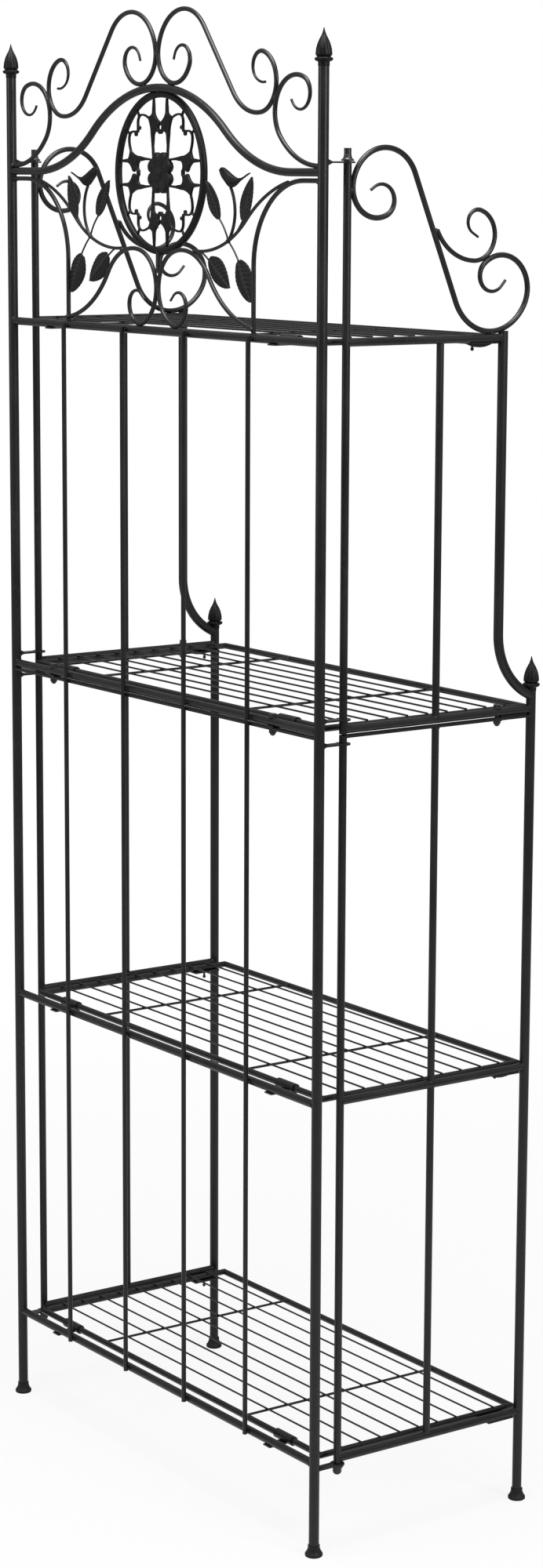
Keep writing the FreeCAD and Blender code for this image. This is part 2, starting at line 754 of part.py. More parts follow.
def filigree_arm():
    """One of the eight arms: a stem and a horned bud with a spear, half a bow and a curled branch."""
    bud = plate([(12.4, 15.0), (16.2, 13.8), (17.2, 20.0),
                 ((18.8, 36.0), (20.4, 46.0)), ((22.6, 58.0), (28.6, 67.8)),
                 ((22.6, 68.6), (17.4, 71.8)), (15.0, MEDALLION_RADIUS), (13.4, MEDALLION_RADIUS),
                 (12.0, 71.8), ((8.8, 66.8), (3.4, 62.6)), ((1.0, 60.0), (1.4, 57.0)),
                 ((3.4, 54.4), (0.0, 52.4)), (0.0, 47.2), ((2.2, 46.4), (4.0, 48.0)),
                 ((11.0, 48.6), (14.0, 42.0)), (15.1, 33.0), (14.6, 20.0)], FILIGREE_THICKNESS)
    horn = (27.0, 66.4)
    rise, heading = arc_to(horn, 28.0, (41.0, 70.0))
    curled = [rise, bend(8.8, -90.0 - heading)]
    x, y = trace(horn, 28.0, curled)[-1].end
    branch = trace(horn, 28.0, curled + [straight(y - x + BRANCH_WIDTH / 2)])
    knob = disc((x - 3.3, x + 4.3), 2.6, FILIGREE_THICKNESS)
    link_start = (46.5, 67.5)
    link_end = ahead((0, 0), 55.5, MEDALLION_RADIUS)
    strips = branch + [Run(link_start, link_end, None, 0.0)]
    return joined([bud, knob] + [flat_run(run, BRANCH_WIDTH, FILIGREE_THICKNESS) for run in strips])


def filigree():
    """Openwork of the medallion: a lobed rosette with eight arms that reach the ring."""
    arm = filigree_arm()
    twin = mirrored(arm)
    pieces = [disc((0, 0), 17.0, ROSETTE_THICKNESS)]
    for quarter in range(4):
        turn = 90 * quarter
        for shape in (arm, twin):
            turned_shape = shape.copy()
            turned_shape.rotate(V(0, 0, 0), V(0, 0, 1), turn)
            pieces.append(turned_shape)
        for offset in (-LOBE_ANGLE, LOBE_ANGLE):
            pieces.append(disc(ahead((0, 0), turn + offset, LOBE_RADIUS), LOBE_SIZE / 2, ROSETTE_THICKNESS))
    x, z = medallion_centre()
    figure = on_back(moved(joined(pieces), V(x, z, 0)), RING_DEPTH)
    return seated(figure, [medallion_ring()])


def medallion_stem(ring, scrolls):
    """Short rod between the ring and the backs of the two base scrolls."""
    x, z = medallion_centre()
    top = z - MEDALLION_RADIUS
    depth = RING_DEPTH / 2
    foot_end = at(x, depth, top - RING_R - MEDALLION_STEM_LENGTH)
    stem = rod(foot_end, at(x, depth, top), MEDALLION_STEM_DIAMETER / 2)
    return seated(stem, [ring] + scrolls)


def vine_point(share):
    """A point of the vine, by its share of the way across from the vine's foot."""
    runs = vine_path()
    across = runs[0].start[0] + share * (runs[-1].end[0] - runs[0].start[0])
    return min(points_of(runs, 0.5), key=lambda p: abs(p[0] - across))


def stem_to(start, heading, across, up):
    """Stem that leaves a point with a heading and ends some way across and up from it."""
    end = (start[0] + across, start[1] + up)
    return trace(start, heading, [arc_to(start, heading, end)[0]])


def bird_stem():
    return stem_to(vine_point(VINE_NODE_SHARE), 45.0, 5.0, 63.0)


Leaf = collections.namedtuple("Leaf", "stem tip width")


def leaves():
    """The four leaves of the right vine: the stem, the tip and the width of each."""
    node = vine_point(VINE_NODE_SHARE)
    outer_x = CORNER_X - SCROLL_R - LEAF_TO_CORNER
    above = stem_to(vine_point(VINE_NODE_SHARE + 0.07), 40.0, 17.0, 17.5)
    inner = stem_to(node, 112.0, -19.0, 26.0)
    below = stem_to(node, -38.0, 21.5, -23.0)
    low = stem_to(vine_point(0.07), -18.0, 18.5, -10.0)
    return [Leaf(above, (outer_x + 3.0, node[1] + 75.0), 20.0),
            Leaf(inner, (inner[-1].end[0] - 26.0, node[1] + 70.0), 19.0),
            Leaf(below, (outer_x - 0.5, node[1] - 71.0), 25.0),
            Leaf(low, (low[-1].end[0] + 43.5, node[1] - 55.0), 22.0)]


def vine(corner, base):
    """Vine with the stems of its bird and leaves."""
    node = Part.makeSphere(1.5 * VINE_R, in_plane(vine_point(VINE_NODE_SHARE)))
    stems = [bent_bar(bird_stem(), BIRD_STEM_DIAMETER / 2)]
    stems += [bent_bar(item.stem, STEM_R) for item in leaves()]
    pieces = [node] + stems + [bent_bar(vine_path(), VINE_R)]
    return seated(on_back(joined(pieces)), [corner, base])


def blade(item):
    """Pressed leaf: a pointed oval, broadest near its stem."""
    base = item.stem[-1].end
    across, up = item.tip[0] - base[0], item.tip[1] - base[1]
    length = math.hypot(across, up)
    half = item.width / 2
    shape = plate([(0.0, -STEM_R), ((0.12 * length, -0.8 * half), (0.38 * length, -half)),
                   ((0.72 * length, -0.64 * half), (length, -0.2)), (length, 0.2),
                   ((0.72 * length, 0.64 * half), (0.38 * length, half)),
                   ((0.12 * length, 0.8 * half), (0.0, STEM_R))], LEAF_THICKNESS)
    shape.rotate(V(0, 0, 0), V(0, 0, 1), math.degrees(math.atan2(up, across)))
    return on_back(moved(shape, in_plane(base)))


def bird():
    """Small cast bird on the end of its stem, facing the medallion."""
    perch = bird_stem()[-1].end
    stations = ((-24.0, 21.0, 0.6), (-21.0, 20.4, 3.4), (-16.0, 18.0, 6.5), (-9.0, 14.1, 7.9),
                (0.0, 8.9, 8.1), (9.0, 7.9, 5.4), (18.0, 9.4, 2.6), (28.0, 13.0, 1.5), (41.0, 17.5, 0.9))
    sections = []
    for across, up, half_height in stations:
        half_thickness = min(BIRD_MAX_HALF_THICKNESS, BIRD_THICKNESS_SHARE * half_height)
        wire = Part.Wire(Part.Ellipse(V(0, 0, 0), half_height, half_thickness).toShape())
        wire.rotate(V(0, 0, 0), V(0, 1, 0), 90)
        wire.rotate(V(0, 0, 0), V(1, 0, 0), 90)
        wire.translate(V(perch[0] + across, perch[1] + up - BIRD_BED, 0))
        sections.append(wire)
    return on_back(Part.makeLoft(sections, True, False))


def shelf_clip(x, z):
    """Sleeve rolled round a shelf's back tube, with a tail under the back rail."""
    centre_z = z + SHELF_RISE
    bore = SHELF_TUBE_R + HINGE_CLEARANCE
    half = CLIP_LENGTH / 2
    ends = [at(x - half, SHELF_AXIS_DEPTH, centre_z), at(x + half, SHELF_AXIS_DEPTH, centre_z)]
    sleeve = rod(ends[0], ends[1], bore + SHEET)
    tail = Part.makeBox(CLIP_TAIL_WIDTH, SHELF_AXIS_DEPTH + RAIL_R, SHEET,
                        at(x - CLIP_TAIL_WIDTH / 2, SHELF_AXIS_DEPTH, z + BELOW_RAIL - SHEET))
    cutters = [rod(ends[0], ends[1], bore), rail_body(z)]
    if z == SEAM_RAIL_Z:
        cutters.append(seam_hole(x, 0))
    return seated(joined([sleeve, tail]), cutters)


def hex_prism(centre, height):
    across_corners = HEX_WIDTH / math.cos(math.radians(30)) / 2
    corners = [centre + V(*ahead((0, 0), angle, across_corners), 0) for angle in range(0, 420, 60)]
    return Part.Face(Part.makePolygon(corners)).extrude(V(0, 0, height))


def seam_bolt(x, depth, rail):
    """Bolt down through a rail and the seam bar, with its acorn nut."""
    head_z = SEAM_RAIL_Z + RAIL_R - WELD_SINK
    nut_z = SEAM_BAR_TOP_Z - SEAM_BAR_THICKNESS
    shank = rod(at(x, depth, nut_z - HEX_HEIGHT), at(x, depth, head_z), BOLT_DIAMETER / 2)
    washer = rod(at(x, depth, head_z), at(x, depth, head_z + WASHER_THICKNESS), WASHER_DIAMETER / 2)
    head = hex_prism(at(x, depth, head_z + WASHER_THICKNESS), HEX_HEIGHT)
    head_part = joined([washer, head]).cut(rail)
    bolt = joined([head_part.Solids[0], shank])
    nut = hex_prism(at(x, depth, nut_z), -HEX_HEIGHT)
    dome = Part.makeSphere(NUT_DOME_DIAMETER / 2, at(x, depth, nut_z - HEX_HEIGHT))
    return [bolt, seated(joined([nut, dome]), [shank])]


# ---------------------------------------------------------------------------
# Side frames
# ---------------------------------------------------------------------------


def stile_body(side):
    return rod(at(side * POST_X, STILE_OFFSET, 0), at(side * POST_X, STILE_OFFSET, POST_TOP_Z), STILE_R)


def leg_body(side, depth):
    return rod(at(side * POST_X, depth, 0), at(side * POST_X, depth, POST_TOP_Z), LEG_R)


def side_rail_body(side, level):
    start = at(side * POST_X, STILE_OFFSET, LEVELS[level])
    return rod(start, at(side * POST_X, DEPTHS[level], LEVELS[level]), RAIL_R)


TOP_CAP_Z = TOP_STRAP_Z + SHEET / 2 + HINGE_END_GAP
BOTTOM_CAP_Z = BOTTOM_Z - STRAP_BELOW_BOTTOM - SHEET / 2 - HINGE_END_GAP


def stiles(side):
    x = side * POST_X
    upper = tube(at(x, STILE_OFFSET, SEAM_RAIL_Z - RAIL_R), at(x, STILE_OFFSET, TOP_CAP_Z), STILE_R)
    lower = tube(at(x, STILE_OFFSET, BOTTOM_CAP_Z), at(x, STILE_OFFSET, SEAM_BAR_TOP_Z), STILE_R)
    return [upper, lower]


def stile_caps(side):
    """Turned cap above the top strap and domed cap under the bottom one, each plugged into the stile."""
    plug = STILE_R - TUBE_WALL
    flange = CAP_FLANGE_DIAMETER / 2
    body = CAP_BODY_DIAMETER / 2
    top = turned([(0, -CAP_PLUG), (plug, -CAP_PLUG), (plug, 0), (flange, 0), (flange, 0.11 * CAP_HEIGHT),
                  ((0.7 * flange, 0.25 * CAP_HEIGHT), (body, 0.45 * CAP_HEIGHT)),
                  (0.94 * body, 0.47 * CAP_HEIGHT), (0.94 * body, CAP_HEIGHT), (0, CAP_HEIGHT)])
    dome = turned([(0, -DOME_HEIGHT),
                   ((0.6 * flange, -0.85 * DOME_HEIGHT), (1.2 * body, -0.53 * DOME_HEIGHT)),
                   (1.2 * body, -0.17 * DOME_HEIGHT), (flange, -0.17 * DOME_HEIGHT), (flange, 0),
                   (plug, 0), (plug, CAP_PLUG), (0, CAP_PLUG)])
    place = at(side * POST_X, STILE_OFFSET, 0)
    return [moved(top, place + V(0, 0, TOP_CAP_Z)), moved(dome, place + V(0, 0, BOTTOM_CAP_Z))]


def upper_leg(side, tip):
    """Front leg of the upper unit: down, then bent forward on to its stub post, under the finial."""
    offset = LOWER_DEPTH - UPPER_DEPTH
    radius = offset / (1 - math.cos(math.radians(LEG_BEND_TURN)))
    bend_top = LEG_BEND_END_Z + radius * math.sin(math.radians(LEG_BEND_TURN))
    top = TOP_RAIL_Z + LEG_ABOVE_TOP_RAIL
    path = trace((UPPER_DEPTH, top), -90.0, [straight(top - bend_top), bend(radius, LEG_BEND_TURN)])
    leg = bent_bar(path, LEG_R, bore=LEG_R - TUBE_WALL)
    lid = rod(in_plane((UPPER_DEPTH, top)), in_plane((UPPER_DEPTH, top - TUBE_WALL)), LEG_R)
    return seated(on_side(joined([leg, lid]), side), [leg_body(side, LOWER_DEPTH), tip])


def stub_post(side):
    x = side * POST_X
    return tube(at(x, LOWER_DEPTH, SEAM_Z), at(x, LOWER_DEPTH, STUB_TOP_Z), LEG_R)


def side_rails(side):
    rails = []
    for level, z in enumerate(LEVELS):
        rail = tube(at(side * POST_X, STILE_OFFSET, z), at(side * POST_X, DEPTHS[level], z), RAIL_R)
        cutters = [stile_body(side), leg_body(side, DEPTHS[level])]
        if z == SEAM_RAIL_Z:
            cutters.append(seam_hole(side * POST_X, SIDE_BOLT_DEPTH))
        rails.append(seated(rail, cutters))
    return rails


def side_seam_bar(side):
    x = side * POST_X
    bar = seam_bar(at(x, STILE_OFFSET, SEAM_BAR_TOP_Z), at(x, LOWER_DEPTH, SEAM_BAR_TOP_Z))
    return seated(bar, [stile_body(side), leg_body(side, LOWER_DEPTH), seam_hole(x, SIDE_BOLT_DEPTH)])


def middle_bars(side):
    """Upright bars between the rails, about halfway along each side frame."""
    x = side * POST_X
    depth = (STILE_OFFSET + LOWER_DEPTH) / 2 - MIDDLE_BAR_SHIFT
    rails = [side_rail_body(side, level) for level in range(4)]
    spans = ((BOTTOM_Z, LOWER_Z), (LOWER_Z, SEAM_BAR_TOP_Z - SEAM_BAR_THICKNESS), (SEAM_RAIL_Z, TOP_RAIL_Z))
    return [seated(rod(at(x, depth, low), at(x, depth, high), MIDDLE_BAR_R), rails) for low, high in spans]


def shelf_bracket(side, level):
    """Plate under a side rail that the shelf's end rests on, with a curved rib below it."""
    x = side * POST_X
    z = LEVELS[level]
    front = DEPTHS[level] - BRACKET_SETBACK
    top = z + BELOW_RAIL
    outer = x + side * BRACKET_UNDER_RAIL
    inner = x - side * BRACKET_REACH
    width = BRACKET_REACH + BRACKET_UNDER_RAIL
    flange = Part.makeBox(width, BRACKET_LENGTH, SHEET, at(min(outer, inner), front, top - SHEET))
    rib_x = x - side * BRACKET_RIB_INSET
    low = top - SHEET - BRACKET_RIB_HEIGHT
    back = front - BRACKET_LENGTH
    start, lowest, end = [at(rib_x - SHEET / 2, depth, height) for depth, height in
                          ((back, top - SHEET), ((back + front) / 2, low), (front, top - SHEET))]
    curve = Part.Arc(start, lowest, end).toShape()
    rib = Part.Face(Part.Wire([curve, Part.LineSegment(end, start).toShape()])).extrude(V(SHEET, 0, 0))
    peg_hole = rod(peg_place(side, level, top), peg_place(side, level, low), PEG_DIAMETER / 2)
    cutters = [side_rail_body(side, level), peg_hole]
    return seated(joined([flange, rib]), cutters)


def peg_place(side, level, z):
    return at(side * (POST_X - PEG_INSET), DEPTHS[level] - PEG_FROM_LEG, z)


def bracket_peg(side, level):
    """Ball-ended screw through a bracket."""
    top = LEVELS[level] + BELOW_RAIL
    ball_z = top - SHEET - PEG_DROP
    shank = rod(peg_place(side, level, ball_z), peg_place(side, level, top), PEG_DIAMETER / 2)
    ball = Part.makeSphere(PEG_BALL_DIAMETER / 2, peg_place(side, level, ball_z))
    return joined([shank, ball])


# ---------------------------------------------------------------------------
# Shelves
# ---------------------------------------------------------------------------


def shelf_corners(level):
    front = DEPTHS[level] + SHELF_FRONT_OVERHANG
    z = LEVELS[level] + SHELF_RISE
    return [at(-SHELF_X, SHELF_AXIS_DEPTH, z), at(SHELF_X, SHELF_AXIS_DEPTH, z),
            at(SHELF_X, front, z), at(-SHELF_X, front, z)]


def beyond_mitre(corner, outward, inward):
    """Block past the mitre plane of a corner, where one tube arrives and the next leaves."""
    size = 4 * SHELF_TUBE_R
    edge = (outward - inward) * size
    away = (outward + inward) * size
    base = corner - V(0, 0, size)
    outline = [base + edge, base - edge, base - edge + away, base + edge + away, base + edge]
    return Part.Face(Part.makePolygon(outline)).extrude(V(0, 0, 2 * size))


def mitred_tube(start, end, before, after):
    """Tube between two corners of a frame, mitred to the tubes before and after it."""
    along = (end - start).normalize()
    reach = along * SHELF_TUBE_R
    cutters = [beyond_mitre(start, along * -1, (before - start).normalize()),
               beyond_mitre(end, along, (after - end).normalize())]
    return seated(tube(start - reach, end + reach, SHELF_TUBE_R), cutters)


def shelf_frame(level):
    corners = shelf_corners(level)
    tubes = []
    for i in range(4):
        tubes.append(mitred_tube(corners[i], corners[(i + 1) % 4], corners[i - 1], corners[(i + 2) % 4]))
    return tubes


def shelf_wires(level):
    """Lengthwise wires welded on top of the frame's end tubes."""
    corners = shelf_corners(level)
    depth = corners[0].y - corners[2].y
    count = round(depth / SHELF_WIRE_PITCH) - 1
    z = corners[0].z + SHELF_TUBE_R + SHELF_WIRE_DIAMETER / 2 - WELD_SINK
    ends = [rod(corners[3], corners[0], SHELF_TUBE_R), rod(corners[2], corners[1], SHELF_TUBE_R)]
    wires = []
    for i in range(count):
        y = corners[0].y - depth * (i + 1) / (count + 1)
        wire = rod(V(-SHELF_X - 2, y, z), V(SHELF_X + 2, y, z), SHELF_WIRE_DIAMETER / 2)
        wires.append(seated(wire, ends))
    return wires


def shelf_ties(level):
    """Two crosswise wires under the lengthwise ones, between the back and front tubes."""
    corners = shelf_corners(level)
    radius = SHELF_TIE_DIAMETER / 2
    z = corners[0].z + SHELF_TUBE_R - radius
    tubes = [rod(corners[0], corners[1], SHELF_TUBE_R), rod(corners[3], corners[2], SHELF_TUBE_R)]
    wires = shelf_wires(level)
    return [seated(rod(V(x, corners[0].y, z), V(x, corners[2].y, z), radius), tubes + wires)
            for x in (-SHELF_TIE_X, SHELF_TIE_X)]


# ---------------------------------------------------------------------------
# The nodes
# ---------------------------------------------------------------------------


def keep(name, solids):
    shape = solids[0] if len(solids) == 1 else Part.makeCompound(solids)
    shape.exportStep("parts/" + name + ".step")


def build_back():
    places = [at(side * POST_X, 0, 0) for side in SIDES.values()]
    arch = arch_body()
    corner = corner_arch()
    base = base_scrolls(corner)
    ring = seated(medallion_ring(), [arch, mirrored(arch)])
    right_vine = vine(corner, base[0])
    seam_rail = rail_body(SEAM_RAIL_Z)

    keep("rear_feet", [moved(foot(POST_R), place) for place in places])
    keep("lower_posts", [moved(necked_tube(POST_R, SEAM_Z, NECK_LENGTH), place) for place in places])
    keep("upper_posts", [tube(place + V(0, 0, SEAM_Z), place + V(0, 0, POST_TOP_Z), POST_R)
                         for place in places])
    keep("post_finials", [moved(finial(POST_R), place + V(0, 0, POST_TOP_Z)) for place in places])
    keep("back_rails", back_rails())
    keep("back_seam_bar", [back_seam_bar()])
    keep("back_bars", back_bars())
    keep("arch_tube", [arch_tube()])
    keep("crest_scrolls", crest_scrolls(arch))
    keep("corner_arches", with_twin(corner))
    keep("base_scrolls", base)
    keep("vines", with_twin(right_vine))
    keep("leaves", [twin for item in leaves() for twin in with_twin(seated(blade(item), [right_vine]))])
    keep("birds", with_twin(seated(bird(), [right_vine])))
    keep("medallion_ring", [ring])
    keep("medallion_filigree", [filigree()])
    keep("medallion_stem", [medallion_stem(ring, base)])
    keep("hinge_straps", hinge_straps())
    keep("shelf_clips", [shelf_clip(x, z) for z in LEVELS for x in (-CLIP_X, CLIP_X)])
    keep("back_seam_bolts", seam_bolt(-BOLT_X, 0, seam_rail) + seam_bolt(BOLT_X, 0, seam_rail))


def build_side(name, side):
    leg_place = at(side * POST_X, LOWER_DEPTH, 0)
    rail_top = side_rail_body(side, 3)
    main = on_side(bent_bar(side_scroll_path(), SIDE_SCROLL_R, tips=2), side)
    small = on_side(bent_bar(small_scroll_path(), SMALL_SCROLL_R, tips=1), side)
    leg_finial = moved(finial(LEG_R), leg_place + V(0, 0, STUB_TOP_Z))
    leg = upper_leg(side, leg_finial)

    keep(name + "_stiles", stiles(side))
    keep(name + "_stile_caps", stile_caps(side))
    keep(name + "_upper_leg", [leg])
    keep(name + "_stub_post", [stub_post(side)])
    keep(name + "_leg_finial", [leg_finial])
    keep(name + "_lower_leg", [moved(necked_tube(LEG_R, SEAM_Z, LEG_NECK_LENGTH), leg_place)])
    keep(name + "_foot", [moved(foot(LEG_R), leg_place)])
    keep(name + "_rails", side_rails(side))
    keep(name + "_seam_bar", [side_seam_bar(side)])
    keep(name + "_middle_bars", middle_bars(side))
    keep(name + "_scrolls", [seated(main, [stile_body(side), rail_top, leg]), seated(small, [main])])
    keep(name + "_shelf_brackets", [shelf_bracket(side, level) for level in range(4)])
    keep(name + "_bracket_pegs", [bracket_peg(side, level) for level in range(4)])
    keep(name + "_seam_bolt", seam_bolt(side * POST_X, SIDE_BOLT_DEPTH, side_rail_body(side, 2)))


def build_shelf(level):
    name = "shelf_" + str(level + 1)
    keep(name + "_frame", shelf_frame(level))
    keep(name + "_wires", shelf_wires(level))
    keep(name + "_ties", shelf_ties(level))


os.makedirs("parts", exist_ok=True)
build_back()
for side_name, side_sign in SIDES.items():
    build_side(side_name, side_sign)
for shelf_level in range(4):
    build_shelf(shelf_level)
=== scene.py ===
import json
import math
from collections import namedtuple

import bmesh
import bpy
from mathutils import Matrix, Vector, kdtree


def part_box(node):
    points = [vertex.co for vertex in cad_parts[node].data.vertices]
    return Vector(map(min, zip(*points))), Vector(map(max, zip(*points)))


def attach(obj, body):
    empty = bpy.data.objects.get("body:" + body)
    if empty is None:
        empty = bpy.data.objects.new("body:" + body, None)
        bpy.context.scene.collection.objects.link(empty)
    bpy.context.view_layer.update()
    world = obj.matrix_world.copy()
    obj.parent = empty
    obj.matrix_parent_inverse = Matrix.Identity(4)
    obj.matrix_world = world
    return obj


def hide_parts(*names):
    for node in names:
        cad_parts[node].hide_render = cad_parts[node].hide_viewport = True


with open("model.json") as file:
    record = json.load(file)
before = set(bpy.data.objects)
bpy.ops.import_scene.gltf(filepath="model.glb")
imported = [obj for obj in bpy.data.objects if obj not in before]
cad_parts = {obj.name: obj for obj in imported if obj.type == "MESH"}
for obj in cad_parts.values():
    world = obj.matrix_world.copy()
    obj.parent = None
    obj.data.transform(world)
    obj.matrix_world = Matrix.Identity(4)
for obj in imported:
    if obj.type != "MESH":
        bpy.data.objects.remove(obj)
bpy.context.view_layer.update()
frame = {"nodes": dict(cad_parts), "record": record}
nodes = frame["nodes"]

MM = 0.001
SIDES = ("left", "right")
SHELVES = ("shelf_1", "shelf_2", "shelf_3", "shelf_4")

# ---------------------------------------------------------------------------
# Nodes of shaders and of geometry
# ---------------------------------------------------------------------------


def feed(tree, value, socket):
    """Link a socket to another one, or set its value."""
    if isinstance(value, bpy.types.NodeSocket):
        tree.links.new(value, socket)
    else:
        socket.default_value = value


def new_node(tree, kind, settings=(), **inputs):
    """A node with its settings, and with inputs by name: small letters, and _ for a space."""
    node = tree.nodes.new(kind)
    for setting, value in dict(settings).items():
        setattr(node, setting, value)
    for label, value in inputs.items():
        feed(tree, value, node.inputs[label.replace("_", " ").title()])
    return node


def math_node(tree, operation, first, second):
    node = new_node(tree, "ShaderNodeMath", {"operation": operation})
    feed(tree, first, node.inputs[0])
    feed(tree, second, node.inputs[1])
    return node.outputs["Value"]


def range_node(tree, value, low, high, to_low=0.0, to_high=1.0):
    """A value stretched from one range to another, and held at its ends."""
    node = new_node(tree, "ShaderNodeMapRange", value=value, from_min=low, from_max=high,
                    to_min=to_low, to_max=to_high)
    return node.outputs["Result"]


def noise_node(tree, place, scale, detail):
    return new_node(tree, "ShaderNodeTexNoise", vector=place, scale=scale, detail=detail).outputs["Fac"]


def group_ends(tree, inputs, outputs):
    """Give a node group its sockets, and return what it is given and where its results go."""
    for direction, sockets in (("INPUT", inputs), ("OUTPUT", outputs)):
        for label, kind in sockets.items():
            tree.interface.new_socket(label, in_out=direction, socket_type="NodeSocket" + kind)
    return tree.nodes.new("NodeGroupInput").outputs, tree.nodes.new("NodeGroupOutput").inputs


# ---------------------------------------------------------------------------
# Paint: groups that its finishes share
# ---------------------------------------------------------------------------

GRAIN_DETAIL = 2.0
PIT_SHARE = 0.6                 # the pits' depth, as a share of the grain's
TONE_DETAIL = 4.0
TONE_SPREAD = (0.32, 0.68)      # the noise runs from the dark tone to the light one between these

RUBBED_PATCH_SCALE = 7.0
RUBBED_PATCH_DETAIL = 3.0
RUBBED_PATCHES = (0.52, 0.70)
SCUFF_SCALE = 160.0
SCUFF_DETAIL = 6.0
SCUFFS = (0.50, 0.66)

DUST_SCALE = 60.0
DUST_DETAIL = 5.0
DUST_SLOPES = (0.35, 1.0)       # dust lies on faces whose normal rises between these
DUST_PATCHES = (0.35, 0.75)
DUST_LEAST = 0.35               # what lies between the patches


def coat_surface_group():
    """Skin of a painted surface: fine grain, soft pits, and a slow change of tone."""
    tree = bpy.data.node_groups.new("coat_surface", "ShaderNodeTree")
    given, out = group_ends(
        tree, {"Place": "Vector", "Grain Scale": "Float", "Pit Scale": "Float", "Tone Scale": "Float"},
        {"Height": "Float", "Tone": "Float"})
    grain = noise_node(tree, given["Place"], given["Grain Scale"], GRAIN_DETAIL)
    cells = new_node(tree, "ShaderNodeTexVoronoi", {"feature": "SMOOTH_F1"},
                     vector=given["Place"], scale=given["Pit Scale"])
    pits = math_node(tree, "MULTIPLY", cells.outputs["Distance"], PIT_SHARE)
    tree.links.new(math_node(tree, "ADD", grain, pits), out["Height"])
    tone = noise_node(tree, given["Place"], given["Tone Scale"], TONE_DETAIL)
    tree.links.new(range_node(tree, tone, *TONE_SPREAD), out["Tone"])
    return tree


def rubbed_group():
    """Where hands and cloths have polished the coat: patches, with fine scuffs inside them."""
    tree = bpy.data.node_groups.new("rubbed", "ShaderNodeTree")
    given, out = group_ends(
        tree, {"Place": "Vector", "Patch Scale": "Float", "Scuff Scale": "Float"}, {"Mask": "Float"})
    patches = noise_node(tree, given["Place"], given["Patch Scale"], RUBBED_PATCH_DETAIL)
    scuffs = noise_node(tree, given["Place"], given["Scuff Scale"], SCUFF_DETAIL)
    mask = math_node(tree, "MULTIPLY", range_node(tree, patches, *RUBBED_PATCHES),
                     range_node(tree, scuffs, *SCUFFS))
    tree.links.new(mask, out["Mask"])
    return tree


def settled_dust_group():
    """Thin dust on faces that look up."""
    tree = bpy.data.node_groups.new("settled_dust", "ShaderNodeTree")
    given, out = group_ends(
        tree, {"Place": "Vector", "Normal": "Vector", "Dust Scale": "Float"}, {"Mask": "Float"})
    rise = new_node(tree, "ShaderNodeSeparateXYZ", vector=given["Normal"]).outputs["Z"]
    patches = noise_node(tree, given["Place"], given["Dust Scale"], DUST_DETAIL)
    mask = math_node(tree, "MULTIPLY", range_node(tree, rise, *DUST_SLOPES),
                     range_node(tree, patches, *DUST_PATCHES, DUST_LEAST, 1.0))
    tree.links.new(mask, out["Mask"])
    return tree


COAT_SURFACE = coat_surface_group()
RUBBED = rubbed_group()
SETTLED_DUST = settled_dust_group()

# ---------------------------------------------------------------------------
# Finishes
# ---------------------------------------------------------------------------

RUBBED_SHARE = 0.35             # how far a rubbed patch takes the rubbed colour
RIB_HIGHLIGHT_SHARE = 0.80             # painted highlight: how far the top of a leaf's rib is lightened towards the rubbed colour
RUBBED_SHEEN = -0.10            # what a rubbed patch adds to the roughness
DUST_SHEEN = 0.12


def placed_group(tree, group, **inputs):
    return new_node(tree, "ShaderNodeGroup", {"node_tree": group}, **inputs).outputs


def blended_colour(tree, share, first, second):
    """A mix of two colours; each is a socket or a colour."""
    node = new_node(tree, "ShaderNodeMix", {"data_type": "RGBA"}, factor=share, a=first, b=second)
    return node.outputs["Result"]


def painted_finish(name, dark, light, rubbed, dust, dust_share, roughness, gloss, skin_depth,
                   **skin_scales):
    """A coat of paint: its tones, where it is rubbed and dusty, a painted highlight on the tops of the
    leaves' ribs, its sheen and its skin.
    """
    material = bpy.data.materials.new(name)
    material.use_nodes = True
    tree = material.node_tree
    place = new_node(tree, "ShaderNodeTexCoord").outputs
    skin = placed_group(tree, COAT_SURFACE, place=place["Object"], **skin_scales)
    worn = placed_group(tree, RUBBED, place=place["Object"], patch_scale=RUBBED_PATCH_SCALE,
                        scuff_scale=SCUFF_SCALE)["Mask"]
    dusty = placed_group(tree, SETTLED_DUST, place=place["Object"], normal=place["Normal"],
                         dust_scale=DUST_SCALE)["Mask"]
    # the leaves' rib heights, which set a painted highlight along the ribs
    relief = new_node(tree, "ShaderNodeAttribute", {"attribute_name": "relief"}).outputs["Fac"]

    tone = blended_colour(tree, skin["Tone"], (*dark, 1), (*light, 1))
    # the rubbed colour goes on worn patches, and as a painted highlight on the tops of the leaves' ribs
    wear_and_rib_highlight_share = math_node(tree, "MAXIMUM", math_node(tree, "MULTIPLY", worn, RUBBED_SHARE),
                             math_node(tree, "MULTIPLY", relief, RIB_HIGHLIGHT_SHARE))
    worn_and_highlit_colour = blended_colour(tree, wear_and_rib_highlight_share, tone, (*rubbed, 1))
    colour = blended_colour(tree, math_node(tree, "MULTIPLY", dusty, dust_share), worn_and_highlit_colour, (*dust, 1))

    sheen = range_node(tree, skin["Tone"], 0.0, 1.0, *roughness)
    for mask, change in ((worn, RUBBED_SHEEN), (dusty, DUST_SHEEN)):
        sheen = math_node(tree, "ADD", sheen, math_node(tree, "MULTIPLY", mask, change))

    bump = new_node(tree, "ShaderNodeBump", strength=1.0, distance=skin_depth, height=skin["Height"])
    shader = tree.nodes["Principled BSDF"].inputs
    shader["Specular IOR Level"].default_value = gloss
    tree.links.new(colour, shader["Base Color"])
    tree.links.new(sheen, shader["Roughness"])
    tree.links.new(bump.outputs["Normal"], shader["Normal"])
    return material


